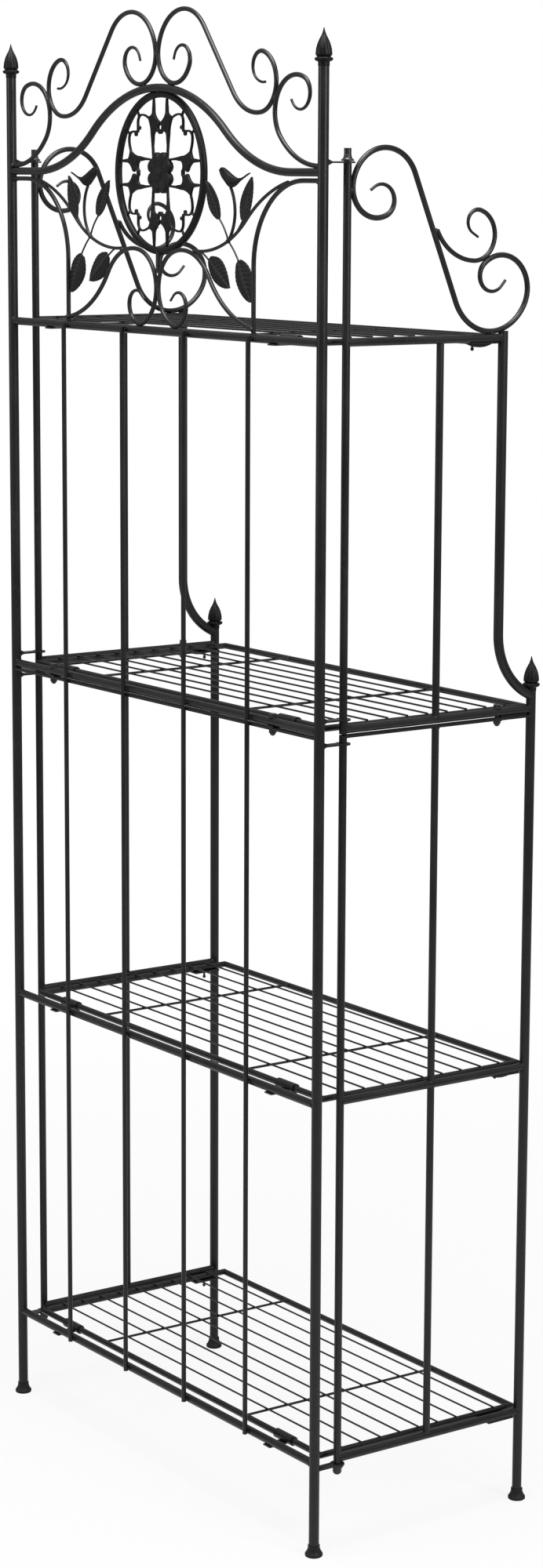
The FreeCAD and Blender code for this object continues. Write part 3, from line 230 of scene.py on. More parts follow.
FINISHES = {
    "powder_coated_steel": painted_finish(
        "black_powder_coat",
        dark=(0.0055, 0.0047, 0.0044), light=(0.0118, 0.0104, 0.0099),
        rubbed=(0.034, 0.031, 0.029), dust=(0.11, 0.10, 0.095), dust_share=0.09,
        roughness=(0.25, 0.38), gloss=0.34,
        skin_depth=0.025 * MM, grain_scale=700.0, pit_scale=240.0, tone_scale=12.0),
    "cast_ornament": painted_finish(
        "painted_casting",
        dark=(0.0022, 0.0018, 0.0017), light=(0.0058, 0.0050, 0.0047),
        rubbed=(0.040, 0.037, 0.035), dust=(0.08, 0.072, 0.068), dust_share=0.04,
        roughness=(0.36, 0.50), gloss=0.20,
        skin_depth=0.10 * MM, grain_scale=560.0, pit_scale=190.0, tone_scale=40.0),
    "black_hardware": painted_finish(
        "black_fixings",
        dark=(0.0090, 0.0090, 0.0094), light=(0.0180, 0.0180, 0.0188),
        rubbed=(0.055, 0.053, 0.051), dust=(0.12, 0.115, 0.11), dust_share=0.10,
        roughness=(0.24, 0.38), gloss=0.45,
        skin_depth=0.04 * MM, grain_scale=1400.0, pit_scale=520.0, tone_scale=70.0),
    "foot_caps": painted_finish(
        "moulded_foot",
        dark=(0.0058, 0.0054, 0.0053), light=(0.0100, 0.0095, 0.0093),
        rubbed=(0.024, 0.023, 0.022), dust=(0.10, 0.095, 0.09), dust_share=0.12,
        roughness=(0.48, 0.64), gloss=0.26,
        skin_depth=0.07 * MM, grain_scale=1100.0, pit_scale=380.0, tone_scale=30.0),
}


def paint_frame():
    """Every node of the frame gets the finish of its slot."""
    for part in frame["record"]["subparts"]:
        mesh = nodes[part["node"]].data
        mesh.materials.clear()
        mesh.materials.append(FINISHES[part["material_slot"]])


# ---------------------------------------------------------------------------
# Reading the frame
# ---------------------------------------------------------------------------

SAME_POINT = 0.001 * MM
CONTACT_SPACING = 3.0 * MM      # how far apart the points are that pieces are compared by
TOUCHING_GAP = 2.2 * MM

TouchingSolid = namedtuple("TouchingSolid", "points tree")


def merged(node):
    """The mesh of a CAD node as one closed bmesh, with its doubles merged."""
    mesh = bmesh.new()
    mesh.from_mesh(nodes[node].data)
    bmesh.ops.remove_doubles(mesh, verts=mesh.verts, dist=SAME_POINT)
    mesh.verts.index_update()
    return mesh


def along_edge(edge, spacing):
    """Points inside an edge that is longer than the spacing."""
    first, last = (vert.co for vert in edge.verts)
    steps = int((last - first).length / spacing)
    return [first.lerp(last, i / steps) for i in range(1, steps)]


def solids_of(node, spacing=None):
    """The points of each solid of a CAD node; with a spacing, also points along its long edges."""
    mesh = merged(node)
    solids = []
    seen = set()
    for first in mesh.verts:
        if first in seen:
            continue
        seen.add(first)
        waiting = [first]
        points = []
        while waiting:
            vert = waiting.pop()
            points.append(vert.co.copy())
            for edge in vert.link_edges:
                other = edge.other_vert(vert)
                if spacing and vert.index < other.index:
                    points += along_edge(edge, spacing)
                if other not in seen:
                    seen.add(other)
                    waiting.append(other)
        solids.append(points)
    mesh.free()
    return solids


def extent(points):
    """The lowest and highest corners of a box round the points."""
    low = Vector([min(p[i] for p in points) for i in range(3)])
    high = Vector([max(p[i] for p in points) for i in range(3)])
    return low, high


def middle(points):
    low, high = extent(points)
    return (low + high) / 2


def tree_of(points):
    tree = kdtree.KDTree(len(points))
    for index, point in enumerate(points):
        tree.insert(point, index)
    tree.balance()
    return tree


def touching(node):
    """The solids of a node from left to right, with points dense enough to find where they touch."""
    solids = sorted(solids_of(node, CONTACT_SPACING), key=lambda points: middle(points).x)
    return [TouchingSolid(points, tree_of(points)) for points in solids]


def nearest_places(first, second):
    """The least distance between two solids, and the two points that it lies between."""
    fewer, more = sorted((first, second), key=lambda solid: len(solid.points))
    best = (math.inf, None, None)
    for point in fewer.points:
        place, _, distance = more.tree.find(point)
        if distance < best[0]:
            best = (distance, point, place)
    return best


def gap(first, second):
    return nearest_places(first, second)[0]


def contact(first, second):
    """The point halfway between the nearest places of two solids."""
    _, place, other = nearest_places(first, second)
    return (place + other) / 2


# ---------------------------------------------------------------------------
# Pieces
# ---------------------------------------------------------------------------


def new_object(name, data):
    item = bpy.data.objects.new(name, data)
    bpy.context.scene.collection.objects.link(item)
    return item


def piece_from(mesh, name, body, slot):
    """Turn a finished mesh into a piece that rides on a body."""
    piece = new_object(name, mesh)
    if not mesh.materials:
        mesh.materials.append(FINISHES[slot])
    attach(piece, body)
    return piece


def smooth(mesh):
    for face in mesh.polygons:
        face.use_smooth = True


def plain_mesh(worker, name):
    """The mesh that a working object's modifiers make; the modifiers and the object are removed."""
    bpy.context.view_layer.update()
    shown = worker.evaluated_get(bpy.context.evaluated_depsgraph_get())
    mesh = bpy.data.meshes.new_from_object(shown)
    mesh.name = name
    worker.modifiers.clear()
    bpy.data.objects.remove(worker)
    return mesh


def mesh_from(builder, name):
    """A smooth mesh of what has been built in a bmesh, which is freed."""
    mesh = bpy.data.meshes.new(name)
    builder.to_mesh(mesh)
    builder.free()
    smooth(mesh)
    return mesh


# ---------------------------------------------------------------------------
# Welds, made by geometry nodes from seams: each has a place, an axis and a size
# ---------------------------------------------------------------------------

WELD_LUMPS = 0.35 * MM          # how far the skin of a weld rises and falls
WELD_LUMP_SCALE = 700.0
WELD_LUMP_DETAIL = 1.0
NOISE_MEAN = 0.5

RING_SHARE = 0.20               # a ring weld's thickness, as a share of its tube's radius
RING_INSET = 0.25               # how far in from the tube's end it lies, as a share of that radius
RING_STEPS = 20
RING_SECTION_STEPS = 6
TACK_SUBDIVISIONS = 2

TACK = Vector((3.5, 3.0, 2.7)) * MM
BAR_TACK = Vector((1.0, 1.6, 2.6)) * MM
BAR_TACK_SHARE = 0.75           # how far out from a bar's middle it lies, as a share of half the bar
BAR_TACK_LEAN = 0.8             # how far its axis leans back, towards the rail
BAR_TACK_DEPTH = 0.2 * MM
LEVEL_DIGITS = 4                # rails on one level agree to a tenth of a millimetre
WIRE_TACK = Vector((1.9, 1.9, 1.2)) * MM
WIRE_TACK_INSET = 1.5 * MM
WIRE_TACK_DROP = 0.5 * MM
WIRE_LUMPS = 0.3 * WELD_LUMPS

Seam = namedtuple("Seam", "place axis size")


def ring_bead(tree, thickness):
    path = new_node(tree, "GeometryNodeCurvePrimitiveCircle", resolution=RING_STEPS, radius=1.0)
    section = new_node(tree, "GeometryNodeCurvePrimitiveCircle", resolution=RING_SECTION_STEPS,
                       radius=thickness)
    ring = new_node(tree, "GeometryNodeCurveToMesh", curve=path.outputs["Curve"],
                    profile_curve=section.outputs["Curve"])
    return ring.outputs["Mesh"]


def tack_bead(tree, radius):
    ball = new_node(tree, "GeometryNodeMeshIcoSphere", radius=radius, subdivisions=TACK_SUBDIVISIONS)
    return ball.outputs["Mesh"]


def named_vector(tree, name):
    node = new_node(tree, "GeometryNodeInputNamedAttribute", {"data_type": "FLOAT_VECTOR"}, name=name)
    return node.outputs["Attribute"]


def weld_tree(name, make_bead):
    """Beads at a mesh's points, turned to their axes, each with a lumpy skin."""
    tree = bpy.data.node_groups.new(name, "GeometryNodeTree")
    given, out = group_ends(
        tree, {"Seams": "Geometry", "Bead": "Float", "Lumps": "Float", "Finish": "Material"},
        {"Welds": "Geometry"})
    turn = new_node(tree, "FunctionNodeAlignRotationToVector", {"axis": "Z"},
                    vector=named_vector(tree, "axis"))
    beads = new_node(tree, "GeometryNodeInstanceOnPoints", points=given["Seams"],
                     instance=make_bead(tree, given["Bead"]), rotation=turn.outputs["Rotation"],
                     scale=named_vector(tree, "size"))
    solid = new_node(tree, "GeometryNodeRealizeInstances", geometry=beads.outputs["Instances"])

    place = new_node(tree, "GeometryNodeInputPosition").outputs["Position"]
    noise = noise_node(tree, place, WELD_LUMP_SCALE, WELD_LUMP_DETAIL)
    rise = math_node(tree, "MULTIPLY", math_node(tree, "SUBTRACT", noise, NOISE_MEAN), given["Lumps"])
    push = new_node(tree, "ShaderNodeVectorMath", {"operation": "SCALE"}, scale=rise,
                    vector=new_node(tree, "GeometryNodeInputNormal").outputs["Normal"])
    lumpy = new_node(tree, "GeometryNodeSetPosition", geometry=solid.outputs["Geometry"],
                     offset=push.outputs["Vector"])
    shaded = new_node(tree, "GeometryNodeSetShadeSmooth", geometry=lumpy.outputs["Geometry"])
    coated = new_node(tree, "GeometryNodeSetMaterial", geometry=shaded.outputs["Geometry"],
                      material=given["Finish"])
    tree.links.new(coated.outputs["Geometry"], out["Welds"])
    return tree


RING_WELDS = weld_tree("ring_welds", ring_bead)
TACK_WELDS = weld_tree("tack_welds", tack_bead)


def weld_piece(name, body, tree, seams, bead=1.0, lumps=WELD_LUMPS):
    """One mesh of all the welds of a kind on a body."""
    mesh = bpy.data.meshes.new(name + "_seams")
    mesh.from_pydata([seam.place for seam in seams], [], [])
    for label in ("axis", "size"):
        values = [number for seam in seams for number in getattr(seam, label)]
        mesh.attributes.new(label, "FLOAT_VECTOR", "POINT").data.foreach_set("vector", values)
    worker = new_object(name + "_seams", mesh)
    maker = worker.modifiers.new("welds", "NODES")
    maker.node_group = tree
    inputs = {"Bead": bead, "Lumps": lumps, "Finish": FINISHES["powder_coated_steel"]}
    for socket in tree.interface.items_tree:
        if socket.in_out == "INPUT" and socket.name in inputs:
            maker[socket.identifier] = inputs[socket.name]
    return piece_from(plain_mesh(worker, name), name, body, "powder_coated_steel")


def end_seams(node, axis):
    """Ring seams at both ends of every straight tube of a node."""
    seams = []
    sideways = 1 if axis == 0 else 0
    direction = Vector([float(i == axis) for i in range(3)])
    for points in solids_of(node):
        low, high = extent(points)
        radius = (high[sideways] - low[sideways]) / 2
        for end, inward in ((low[axis], 1), (high[axis], -1)):
            place = (low + high) / 2
            place[axis] = end + inward * RING_INSET * radius
            seams.append(Seam(place, direction, Vector((radius, radius, radius))))
    return seams


def tack_seams(pairs, normal):
    """Lumps of weld where the pieces of each pair touch, all flat across one direction."""
    return [Seam(contact(first, second), normal, TACK) for first, second in pairs]


def ornament_contacts():
    """Pairs of the back's ornament that are tacked to each other."""
    crest = touching("crest_scrolls")
    base = touching("base_scrolls")
    arch = touching("arch_tube")[0]
    ring = touching("medallion_ring")[0]
    rail = max(touching("back_rails"), key=lambda solid: middle(solid.points).z)
    corners = touching("corner_arches")
    vines = touching("vines")
    posts = touching("upper_posts")
    pairs = [(crest[1], crest[2]), (base[0], base[1]), (ring, arch)]
    for side, (outer, inner) in enumerate(((crest[0], crest[1]), (crest[3], crest[2]))):
        pairs += [(outer, inner), (inner, arch), (outer, posts[side]), (corners[side], posts[side]),
                  (corners[side], rail), (base[side], corners[side]), (vines[side], corners[side]),
                  (vines[side], base[side])]
    return pairs


def side_contacts(side):
    """Pairs of a side's scrolls and the tubes round them that are tacked to each other."""
    scrolls = touching(side + "_scrolls")
    tubes = touching(side + "_stiles") + touching(side + "_rails") + touching(side + "_middle_bars")
    pairs = []
    for index, scroll in enumerate(scrolls):
        for other in scrolls[index + 1:] + tubes:
            if gap(scroll, other) < TOUCHING_GAP:
                pairs.append((scroll, other))
    return pairs


def bar_seams():
    """Two short fillets wherever a back bar crosses a rail, one on each side of the bar."""
    seams = []
    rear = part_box("back_rails")[1].y - BAR_TACK_DEPTH
    levels = sorted({round(middle(points).z, LEVEL_DIGITS) for points in solids_of("back_rails")})
    for bar in solids_of("back_bars"):
        low, high = extent(bar)
        half = (high.x - low.x) / 2
        for level in levels:
            if low.z - half < level < high.z + half:
                for side in (-1, 1):
                    place = Vector((middle(bar).x + side * half * BAR_TACK_SHARE, rear, level))
                    seams.append(Seam(place, Vector((side, BAR_TACK_LEAN, 0)), BAR_TACK))
    return seams


def wire_seams(shelf):
    """Tacks where the wires of a shelf cross its ties and land on its end tubes."""
    ties = [middle(points).x for points in solids_of(shelf + "_ties")]
    seams = []
    for points in solids_of(shelf + "_wires"):
        low, high = extent(points)
        centre = middle(points)
        for x in (low.x + WIRE_TACK_INSET, high.x - WIRE_TACK_INSET, *ties):
            place = Vector((x, centre.y, centre.z - WIRE_TACK_DROP))
            seams.append(Seam(place, Vector((0, 0, 1)), WIRE_TACK))
    return seams


def welds():
    weld_piece("back_rail_welds", "back", RING_WELDS, end_seams("back_rails", 0), bead=RING_SHARE)
    weld_piece("back_bar_welds", "back", TACK_WELDS, bar_seams())
    tacks = tack_seams(ornament_contacts(), Vector((0, 1, 0)))
    weld_piece("ornament_welds", "back", TACK_WELDS, tacks)
    for side in SIDES:
        rings = end_seams(side + "_rails", 1) + end_seams(side + "_middle_bars", 2)
        weld_piece(side + "_rail_welds", side + "_side", RING_WELDS, rings, bead=RING_SHARE)
        tacks = tack_seams(side_contacts(side), Vector((1, 0, 0)))
        weld_piece(side + "_scroll_welds", side + "_side", TACK_WELDS, tacks)
    for shelf in SHELVES:
        weld_piece(shelf + "_wire_welds", shelf, TACK_WELDS, wire_seams(shelf), lumps=WIRE_LUMPS)


# ---------------------------------------------------------------------------
# Leaves: shares are of a leaf's length, or of its half width, from base or midrib
# ---------------------------------------------------------------------------

LEAF_THICKNESS = 1.3 * MM
LEAF_LEAST_WIDTH = 0.15 * MM
LEAF_COLUMNS = 14
LEAF_ROWS_PER_TOOTH = 5
LEAF_TEETH = 11
LEAF_TOOTH_DEPTH = 0.055
HANGING_LEAF_BREADTH = 1.22     # the lower leaves are rounder than the upper ones

LEAF_BROADEST = 0.38            # where the leaf is broadest
LEAF_HEEL = 0.12                # how far round its base already is where the stem meets it
LEAF_HEEL_LENGTH = 0.40
LEAF_HEEL_POWER = 0.70
LEAF_TIP_POWER = 0.72

LEAF_FOLD = 2.0 * MM            # how far the edges turn up from the midrib
LEAF_FOLD_POWER = 1.4
LEAF_FOLD_LEVEL = 0.35          # the share of the fold that lies in the leaf's middle plane
LEAF_FOLD_START = 0.12
LEAF_CURL = 1.6 * MM

LEAF_RIB_HEIGHT = 0.8 * MM
LEAF_VEINS = 9
LEAF_VEIN_SLANT = 1.6           # how many veins further on a vein ends at the edge
LEAF_VEIN_SHARPNESS = 5
LEAF_VEIN_FADE = 0.3
MIDRIB_SHARE = 1.3              # its height, as a share of a vein's
MIDRIB_WIDTH = 0.8 * MM


def leaf_line(points):
    """Base, tip and half width of a leaf, read from its solid."""
    centre = sum(points, Vector()) / len(points)
    flat = [Vector((p.x, centre.y, p.z)) for p in points]
    far = max(flat, key=lambda p: (p - centre).length)
    near = max(flat, key=lambda p: (p - far).length)
    along = (far - near).normalized()
    sideways = Vector((-along.z, 0, along.x))
    reach = [((p - near).dot(along), abs((p - near).dot(sideways))) for p in flat]
    broadest, half_width = max(reach, key=lambda item: item[1])
    base, tip = (near, far) if broadest < (far - near).length / 2 else (far, near)
    return base, tip, half_width


def leaf_outline(share):
    """Half width of a leaf along its length: round near the base and drawn out to the tip."""
    if share < LEAF_BROADEST:
        heel = min(1.0, LEAF_HEEL + share / LEAF_HEEL_LENGTH * (1 - LEAF_HEEL))
        return math.sin(math.pi / 2 * heel) ** LEAF_HEEL_POWER
    taper = (share - LEAF_BROADEST) / (1 - LEAF_BROADEST)
    return max(0.0, math.cos(math.pi / 2 * taper)) ** LEAF_TIP_POWER


def leaf_rib(share, out, half_width):
    """How far the midrib or a side vein stands up, at a share of the length and of the half width."""
    vein = (share * LEAF_VEINS - abs(out) * LEAF_VEIN_SLANT) % 1.0
    ridge = max(0.0, 1 - abs(vein - 0.5) * LEAF_VEIN_SHARPNESS) * (1 - abs(out)) ** LEAF_VEIN_FADE
    midrib = MIDRIB_SHARE * math.exp(-(out * half_width / MIDRIB_WIDTH) ** 2)
    return max(ridge, midrib)


def leaf_surface(base, tip, half_width, turn, side):
    """Rows of one face of a leaf, each from edge to edge: every point with how far its rib stands up."""
    along = tip - base
    length = along.length
    along.normalize()
    sideways = Vector((-along.z, 0, along.x))
    rows = []
    steps = LEAF_TEETH * LEAF_ROWS_PER_TOOTH
    for i in range(steps + 1):
        share = i / steps
        tooth = 1 - LEAF_TOOTH_DEPTH * (1 - (share * LEAF_TEETH) % 1.0)
        width = max(half_width * leaf_outline(share) * tooth, LEAF_LEAST_WIDTH)
        depth = LEAF_FOLD * math.sin(math.pi * min(1.0, share + LEAF_FOLD_START))
        curl = LEAF_CURL * (share - 0.5) ** 2
        row = []
        for j in range(LEAF_COLUMNS + 1):
            out = 2 * j / LEAF_COLUMNS - 1
            fold = depth * (abs(out) ** LEAF_FOLD_POWER - LEAF_FOLD_LEVEL)
            rib = leaf_rib(share, out, width)
            lift = turn * (fold + curl) + side * (LEAF_THICKNESS / 2 + LEAF_RIB_HEIGHT * rib)
            place = base + along * (share * length) + sideways * (out * width) + Vector((0, lift, 0))
            # the rib's height goes with the point; the finish turns it into a painted highlight along the
            # rib
            row.append((place, min(rib, 1.0)))
        rows.append(row)
    return rows


def raised_point(mesh, place, rib):
    vert = mesh.verts.new(place)
    # the rib's height, which the finish reads to paint a highlight on the rib
    vert[mesh.verts.layers.float["relief"]] = rib
    return vert


def rim(rows):
    """The edge of a grid of points, once round."""
    up_and_over = [row[0] for row in rows] + rows[-1][1:]
    return up_and_over + [row[-1] for row in rows[-2::-1]] + rows[0][-2:0:-1]


def add_leaf(mesh, base, tip, half_width, turn):
    """Two faces of a leaf, with a wall between their rims."""
    faces = [leaf_surface(base, tip, half_width, turn, side) for side in (1, -1)]
    grids = [[[raised_point(mesh, *point) for point in row] for row in rows] for rows in faces]
    for rows in grids:
        for lower, upper in zip(rows, rows[1:]):
            for j in range(LEAF_COLUMNS):
                mesh.faces.new((lower[j], lower[j + 1], upper[j + 1], upper[j]))
    front, rear = (rim(rows) for rows in grids)
    for corners in zip(front, front[1:] + front[:1], rear[1:] + rear[:1], rear):
        mesh.faces.new(corners)


def serrated_leaves():
    """Pressed leaves with toothed edges, a midrib and slanting side veins."""
    builder = bmesh.new()
    # each point's rib height, which the finish reads to paint a highlight along the ribs
    builder.verts.layers.float.new("relief")
    for points in solids_of("leaves"):
        base, tip, half_width = leaf_line(points)
        if tip.z > base.z:
            add_leaf(builder, base, tip, half_width, 1)
        else:
            add_leaf(builder, base, tip, half_width * HANGING_LEAF_BREADTH, -1)
    bmesh.ops.recalc_face_normals(builder, faces=builder.faces)
    leaves = mesh_from(builder, "serrated_leaves")
    piece = piece_from(leaves, "serrated_leaves", "back", "cast_ornament")
    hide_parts("leaves")


# ---------------------------------------------------------------------------
# Castings: a softened copy of the solid, with relief
# ---------------------------------------------------------------------------

SOFTENING = 0.5


def softened(node, cell, rounds):
    """A copy of a node with the rounded edges of a sand casting."""
    source = merged(node)
    data = bpy.data.meshes.new(node + "_cast")
    source.to_mesh(data)
    source.free()
    worker = new_object(node + "_cast", data)
    remesh = worker.modifiers.new("cells", "REMESH")
    remesh.mode = "VOXEL"
    remesh.voxel_size = cell
    relax = worker.modifiers.new("relax", "SMOOTH")
    relax.factor = SOFTENING
    relax.iterations = rounds
    cast = plain_mesh(worker, node + "_casting")
    smooth(cast)
    return cast


def move_points(mesh, offset):
    """Shift every point of a mesh by what a function of its place and normal gives."""
    shifts = [offset(vert.co.copy(), vert.normal.copy()) for vert in mesh.vertices]
    for vert, shift in zip(mesh.vertices, shifts):
        vert.co += shift
    mesh.update()


def facing(height, normal):
    """A shift of some height towards the front or the back, whichever a face looks to."""
    return Vector((0, math.copysign(height, normal.y), 0))


# The medallion's openwork

FILIGREE_CELL = 0.75 * MM
FILIGREE_ROUNDS = 3
FACE_NORMAL = 0.4               # a face whose normal has at least this share of Y is a front or a back
WALL_NORMAL = 0.5               # and one with less than this is a wall of an opening
RELIEF_HEIGHT = 0.9 * MM
RELIEF_ROUNDING = 1.6 * MM
LOBE_CIRCLE = 19.0 * MM
LOBE_TURN = 23                  # degrees from the middle of a quarter to each of its two lobes
LOBE_RADIUS = 7.25 * MM
LOBE_FOOT = 0.4 * RELIEF_HEIGHT
LOBE_DOME = 1.5 * MM
LOBE_RIDGES = 6
LOBE_GROOVE = 0.25 * MM
BOSS_RADIUS = 7.0 * MM
BOSS_FOOT = 0.5 * MM
BOSS_DOME = 2.4 * MM


def lobe_places(centre):
    """The middles of the rosette's lobes, two in each quarter."""
    spoke = Vector((LOBE_CIRCLE, 0, 0))
    turns = [90 * quarter + turn for quarter in range(4) for turn in (-LOBE_TURN, LOBE_TURN)]
    return [centre + Matrix.Rotation(math.radians(turn), 3, "Y") @ spoke for turn in turns]


def lobe_height(x, z):
    """A domed lobe round its middle, with shallow grooves that deepen to its rim."""
    share = math.hypot(x, z) / LOBE_RADIUS
    if share >= 1:
        return 0.0
    groove = LOBE_GROOVE * abs(math.sin(LOBE_RIDGES / 2 * math.atan2(z, x))) * share
    return LOBE_FOOT + LOBE_DOME * math.sqrt(1 - share ** 2) - groove


def boss_height(x, z):
    """The round boss in the middle of the rosette."""
    share = math.hypot(x, z) / BOSS_RADIUS
    if share >= 1:
        return 0.0
    return BOSS_FOOT + BOSS_DOME * math.sqrt(1 - share ** 2)


def medallion_relief():
    """The openwork with pillowed ribs, domed rosette lobes and a centre boss."""
    cast = softened("medallion_filigree", FILIGREE_CELL, FILIGREE_ROUNDS)
    low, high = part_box("medallion_filigree")
    centre = (low + high) / 2
    lobes = lobe_places(centre)
    walls = [vert.co for vert in cast.vertices if abs(vert.normal.y) < WALL_NORMAL]
    outline = tree_of([Vector((p.x, 0, p.z)) for p in walls])

    def offset(place, normal):
        if abs(normal.y) < FACE_NORMAL:
            return Vector()
        inward = outline.find(Vector((place.x, 0, place.z)))[2]
        heights = [RELIEF_HEIGHT * (1 - math.exp(-inward / RELIEF_ROUNDING)),
                   boss_height(place.x - centre.x, place.z - centre.z)]
        heights += [lobe_height(place.x - lobe.x, place.z - lobe.z) for lobe in lobes]
        return facing(max(heights), normal)

    move_points(cast, offset)
    piece = piece_from(cast, "medallion_casting", "back", "cast_ornament")
    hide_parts("medallion_filigree")


# Birds: shares are of a bird's length, from its beak to its tail

BIRD_CELL = 0.8 * MM
BIRD_ROUNDS = 2
WING_FROM = 0.20
WING_TO = 0.66
WING_HEIGHT = 0.9 * MM
WING_REACH = 1.6                # how far round from front and back the wing's relief goes
FEATHER_PITCH = 3.0 * MM
FEATHER_HEIGHT = 0.4 * MM
TAIL_FROM = 0.74
BARB_PITCH = 1.8 * MM
BARB_HEIGHT = 0.3 * MM
HEAD_SHARE = 0.06
BEAK_LENGTH = 6.0 * MM
BEAK_RADIUS = 1.9 * MM
BEAK_TIP_RADIUS = 0.25 * MM
BEAK_STEPS = 14
BEAK_FORWARD = 0.5 * MM
BEAK_RISE = 0.2 * MM
EYE_RADIUS = 0.9 * MM
EYE_SUBDIVISIONS = 2
EYE_BACK = 5.4 * MM
EYE_OUT = 3.5 * MM
EYE_RISE = 2.2 * MM

Bird = namedtuple("Bird", "middle head outward length underside")


def bird_line(points):
    """A bird's middle, the end of its head, which way its tail lies, its length and its underside."""
    low, high = extent(points)
    outward = math.copysign(1, low.x + high.x)
    head = low.x if outward > 0 else high.x
    return Bird((low.x + high.x) / 2, head, outward, high.x - low.x, low.z)


def feathers(bird, place, normal):
    """The relief of the wing or of the tail at a place on a bird."""
    share = (place.x - bird.head) * bird.outward / bird.length
    if WING_FROM < share < WING_TO:
        swell = math.sin(math.pi * (share - WING_FROM) / (WING_TO - WING_FROM))
        barbs = FEATHER_HEIGHT * math.sin(2 * math.pi * share * bird.length / FEATHER_PITCH)
        return facing(swell * (WING_HEIGHT + barbs), normal) * min(1.0, abs(normal.y) * WING_REACH)
    if share > TAIL_FROM:
        barbs = BARB_HEIGHT * math.sin(2 * math.pi * (place.z - bird.underside) / BARB_PITCH)
        return facing(barbs, normal) * abs(normal.y)
    return Vector()


def add_beak_and_eyes(mesh, bird):
    """A pointed beak at the end of a bird's head, and an eye on each side of it."""
    head = [v.co for v in mesh.verts if abs(v.co.x - bird.head) < HEAD_SHARE * bird.length]
    tip = sum(head, Vector()) / len(head)
    turn = Matrix.Rotation(math.radians(-90 * bird.outward), 4, "Y")
    beak = Matrix.Translation(tip + Vector((-bird.outward * BEAK_FORWARD, 0, BEAK_RISE))) @ turn
    bmesh.ops.create_cone(mesh, cap_ends=True, segments=BEAK_STEPS, radius1=BEAK_RADIUS,
                          radius2=BEAK_TIP_RADIUS, depth=BEAK_LENGTH, matrix=beak)
    for side in (-1, 1):
        eye = Matrix.Translation(tip + Vector((bird.outward * EYE_BACK, side * EYE_OUT, EYE_RISE)))
        bmesh.ops.create_icosphere(mesh, subdivisions=EYE_SUBDIVISIONS, radius=EYE_RADIUS, matrix=eye)


def feathered_birds():
    """Small birds with wings in relief, a beak, eyes and a grooved tail."""
    cast = softened("birds", BIRD_CELL, BIRD_ROUNDS)
    birds = [bird_line(points) for points in solids_of("birds")]

    def offset(place, normal):
        return feathers(min(birds, key=lambda bird: abs(bird.middle - place.x)), place, normal)

    move_points(cast, offset)
    builder = bmesh.new()
    builder.from_mesh(cast)
    for bird in birds:
        add_beak_and_eyes(builder, bird)
    piece = piece_from(mesh_from(builder, "feathered_birds"), "feathered_birds", "back", "cast_ornament")
    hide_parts("birds")


# Spear finials: shares are of a finial's height, from its plug

BUD_CELL = 0.5 * MM
BUD_ROUNDS = 2
BUD_PETALS = 8
BUD_FLUTE_DEPTH = 1.0 * MM
BUD_FLUTE_POWER = 0.6
BUD_CORE = 2.0 * MM             # within this radius nothing is cut
BUD_FROM = 0.25
BUD_TO = 0.95
COLLAR_TO = 0.36
COLLAR_SHARE = 0.8              # how deep the collar is cut, as a share of the petals

Bud = namedtuple("Bud", "x y low high")


def petal_cut(bud, place):
    """How far a point of a bud or of its collar goes in between two petals."""
    share = (place.z - bud.low) / (bud.high - bud.low)
    out = Vector((place.x - bud.x, place.y - bud.y, 0))
    if out.length < BUD_CORE or not BUD_FROM < share < BUD_TO:
        return Vector()
    depth = math.sin(math.pi * (share - BUD_FROM) / (BUD_TO - BUD_FROM))
    if share < COLLAR_TO:
        depth = COLLAR_SHARE
    petal = abs(math.sin(BUD_PETALS * math.atan2(out.y, out.x) / 2)) ** BUD_FLUTE_POWER
    return out.normalized() * (BUD_FLUTE_DEPTH * depth * (petal - 1))


def petalled_finial(node, name, body):
    """A spear bud that is cut into petals, over a scalloped collar."""
    cast = softened(node, BUD_CELL, BUD_ROUNDS)
    buds = []
    for points in solids_of(node):
        low, high = extent(points)
        buds.append(Bud((low.x + high.x) / 2, (low.y + high.y) / 2, low.z, high.z))

    def offset(place, _):
        return petal_cut(min(buds, key=lambda bud: math.hypot(bud.x - place.x, bud.y - place.y)), place)

    move_points(cast, offset)
    piece = piece_from(cast, name, body, "cast_ornament")
    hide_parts(node)


# ---------------------------------------------------------------------------
# Room, lamps and camera
# ---------------------------------------------------------------------------

WHITE = (1, 1, 1, 1)
ROOM_TINT = (0.95, 0.97, 1.0, 1)
ROOM_STRENGTH = 0.27
GLOSSY_WHITE = 0.17             # how white the room looks in a reflection
FLOOR_SIZE = 14.0
FLOOR_COLOUR = (0.74, 0.74, 0.74, 1)
FLOOR_ROUGHNESS = 0.9
FLOOR_GLOSS = 0.1
FLOOR_WHITE = 0.87              # share of plain white in the floor beside the rack
FLOOR_FADE = (0.7, 2.4)         # between these distances it rises to all white

LAMP_TARGET = Vector((0, 0, 1.2))
LAMPS = (                       # name, place, width, height and watts
    ("overhead", (-0.5, 0.5, 3.6), 1.5, 1.5, 105),
    ("window", (-3.2, -0.6, 2.6), 0.8, 2.2, 55),
    ("fill", (1.2, 3.6, 2.4), 1.0, 2.2, 30),
)

CAMERA_PLACE = Vector((-3.4918, 2.4537, 1.6691))
CAMERA_TILT = 79.698
CAMERA_ROLL = -0.238
CAMERA_TURN = -125.212
CAMERA_LENS = 77.35
CAMERA_SENSOR = 36.0
CAMERA_REACH = 100.0


def sees_white(tree):
    """1 for rays from the camera or through clear glass, GLOSSY_WHITE for reflections, else 0."""
    path = new_node(tree, "ShaderNodeLightPath").outputs
    seen = math_node(tree, "MAXIMUM", path["Is Camera Ray"], path["Is Transmission Ray"])
    mirrored = math_node(tree, "MULTIPLY", path["Is Glossy Ray"], GLOSSY_WHITE)
    return math_node(tree, "MAXIMUM", seen, mirrored)


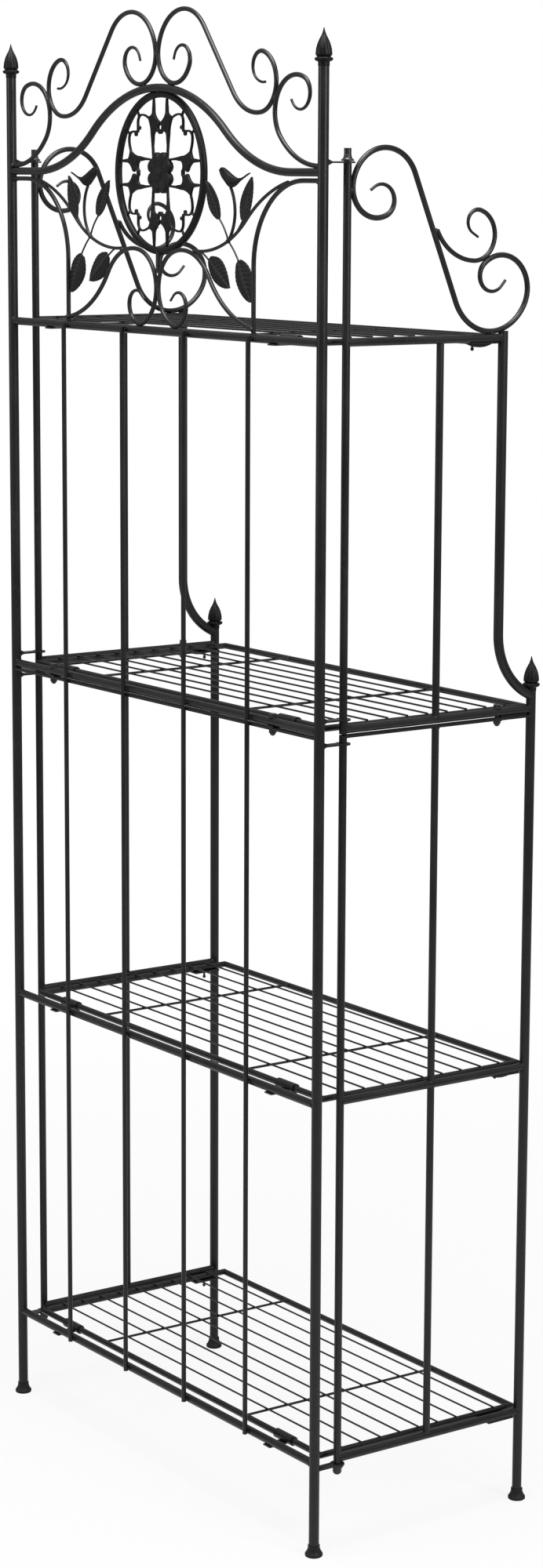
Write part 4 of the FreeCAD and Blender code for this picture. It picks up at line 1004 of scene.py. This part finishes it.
def far_out(tree):
    """How much of its shading the floor loses, from the shadow near the rack to plain white far out."""
    place = new_node(tree, "ShaderNodeTexCoord").outputs["Object"]
    distance = new_node(tree, "ShaderNodeVectorMath", {"operation": "LENGTH"}, vector=place)
    return range_node(tree, distance.outputs["Value"], *FLOOR_FADE, FLOOR_WHITE, 1.0)


def mixed_shader(tree, share, first, second):
    mix = new_node(tree, "ShaderNodeMixShader", fac=share)
    tree.links.new(first, mix.inputs[1])
    tree.links.new(second, mix.inputs[2])
    return mix.outputs["Shader"]


def pale_floor():
    mesh = bpy.data.meshes.new("floor")
    half = FLOOR_SIZE / 2
    corners = [(-half, -half, 0), (half, -half, 0), (half, half, 0), (-half, half, 0)]
    mesh.from_pydata(corners, [], [(0, 1, 2, 3)])
    floor = new_object("floor", mesh)
    material = bpy.data.materials.new("pale_floor")
    material.use_nodes = True
    tree = material.node_tree
    paint = tree.nodes["Principled BSDF"]
    paint.inputs["Base Color"].default_value = FLOOR_COLOUR
    paint.inputs["Roughness"].default_value = FLOOR_ROUGHNESS
    paint.inputs["Specular IOR Level"].default_value = FLOOR_GLOSS
    glow = new_node(tree, "ShaderNodeEmission", color=WHITE)
    share = math_node(tree, "MULTIPLY", sees_white(tree), far_out(tree))
    surface = mixed_shader(tree, share, paint.outputs["BSDF"], glow.outputs["Emission"])
    tree.links.new(surface, tree.nodes["Material Output"].inputs["Surface"])
    mesh.materials.append(material)


def white_room():
    world = bpy.data.worlds.new("white_room")
    bpy.context.scene.world = world
    world.use_nodes = True
    tree = world.node_tree
    soft = tree.nodes["Background"]
    soft.inputs["Color"].default_value = ROOM_TINT
    soft.inputs["Strength"].default_value = ROOM_STRENGTH
    white = new_node(tree, "ShaderNodeBackground", color=WHITE, strength=1.0)
    surface = mixed_shader(tree, sees_white(tree), soft.outputs["Background"], white.outputs["Background"])
    tree.links.new(surface, tree.nodes["World Output"].inputs["Surface"])


def hang_lamps():
    """Soft boxes that all look at the middle of the rack."""
    for name, place, width, height, watts in LAMPS:
        light = bpy.data.lights.new(name, "AREA")
        light.shape = "RECTANGLE"
        light.size = width
        light.size_y = height
        light.energy = watts
        lamp = new_object(name, light)
        lamp.location = place
        lamp.rotation_mode = "QUATERNION"
        lamp.rotation_quaternion = (LAMP_TARGET - Vector(place)).to_track_quat("-Z", "Y")


def set_up_camera():
    data = bpy.data.cameras.new("camera")
    data.lens = CAMERA_LENS
    data.sensor_width = CAMERA_SENSOR
    data.clip_end = CAMERA_REACH
    camera = new_object("camera", data)
    camera.location = CAMERA_PLACE
    camera.rotation_euler = [math.radians(angle) for angle in (CAMERA_TILT, CAMERA_ROLL, CAMERA_TURN)]
    bpy.context.scene.camera = camera


# ---------------------------------------------------------------------------
# The dressed rack
# ---------------------------------------------------------------------------

bpy.context.scene.view_settings.view_transform = "Standard"
white_room()
pale_floor()
hang_lamps()
set_up_camera()
paint_frame()
serrated_leaves()
medallion_relief()
feathered_birds()
petalled_finial("post_finials", "petalled_post_finials", "back")
for side in SIDES:
    petalled_finial(side + "_leg_finial", side + "_petalled_finial", side + "_side")
welds()
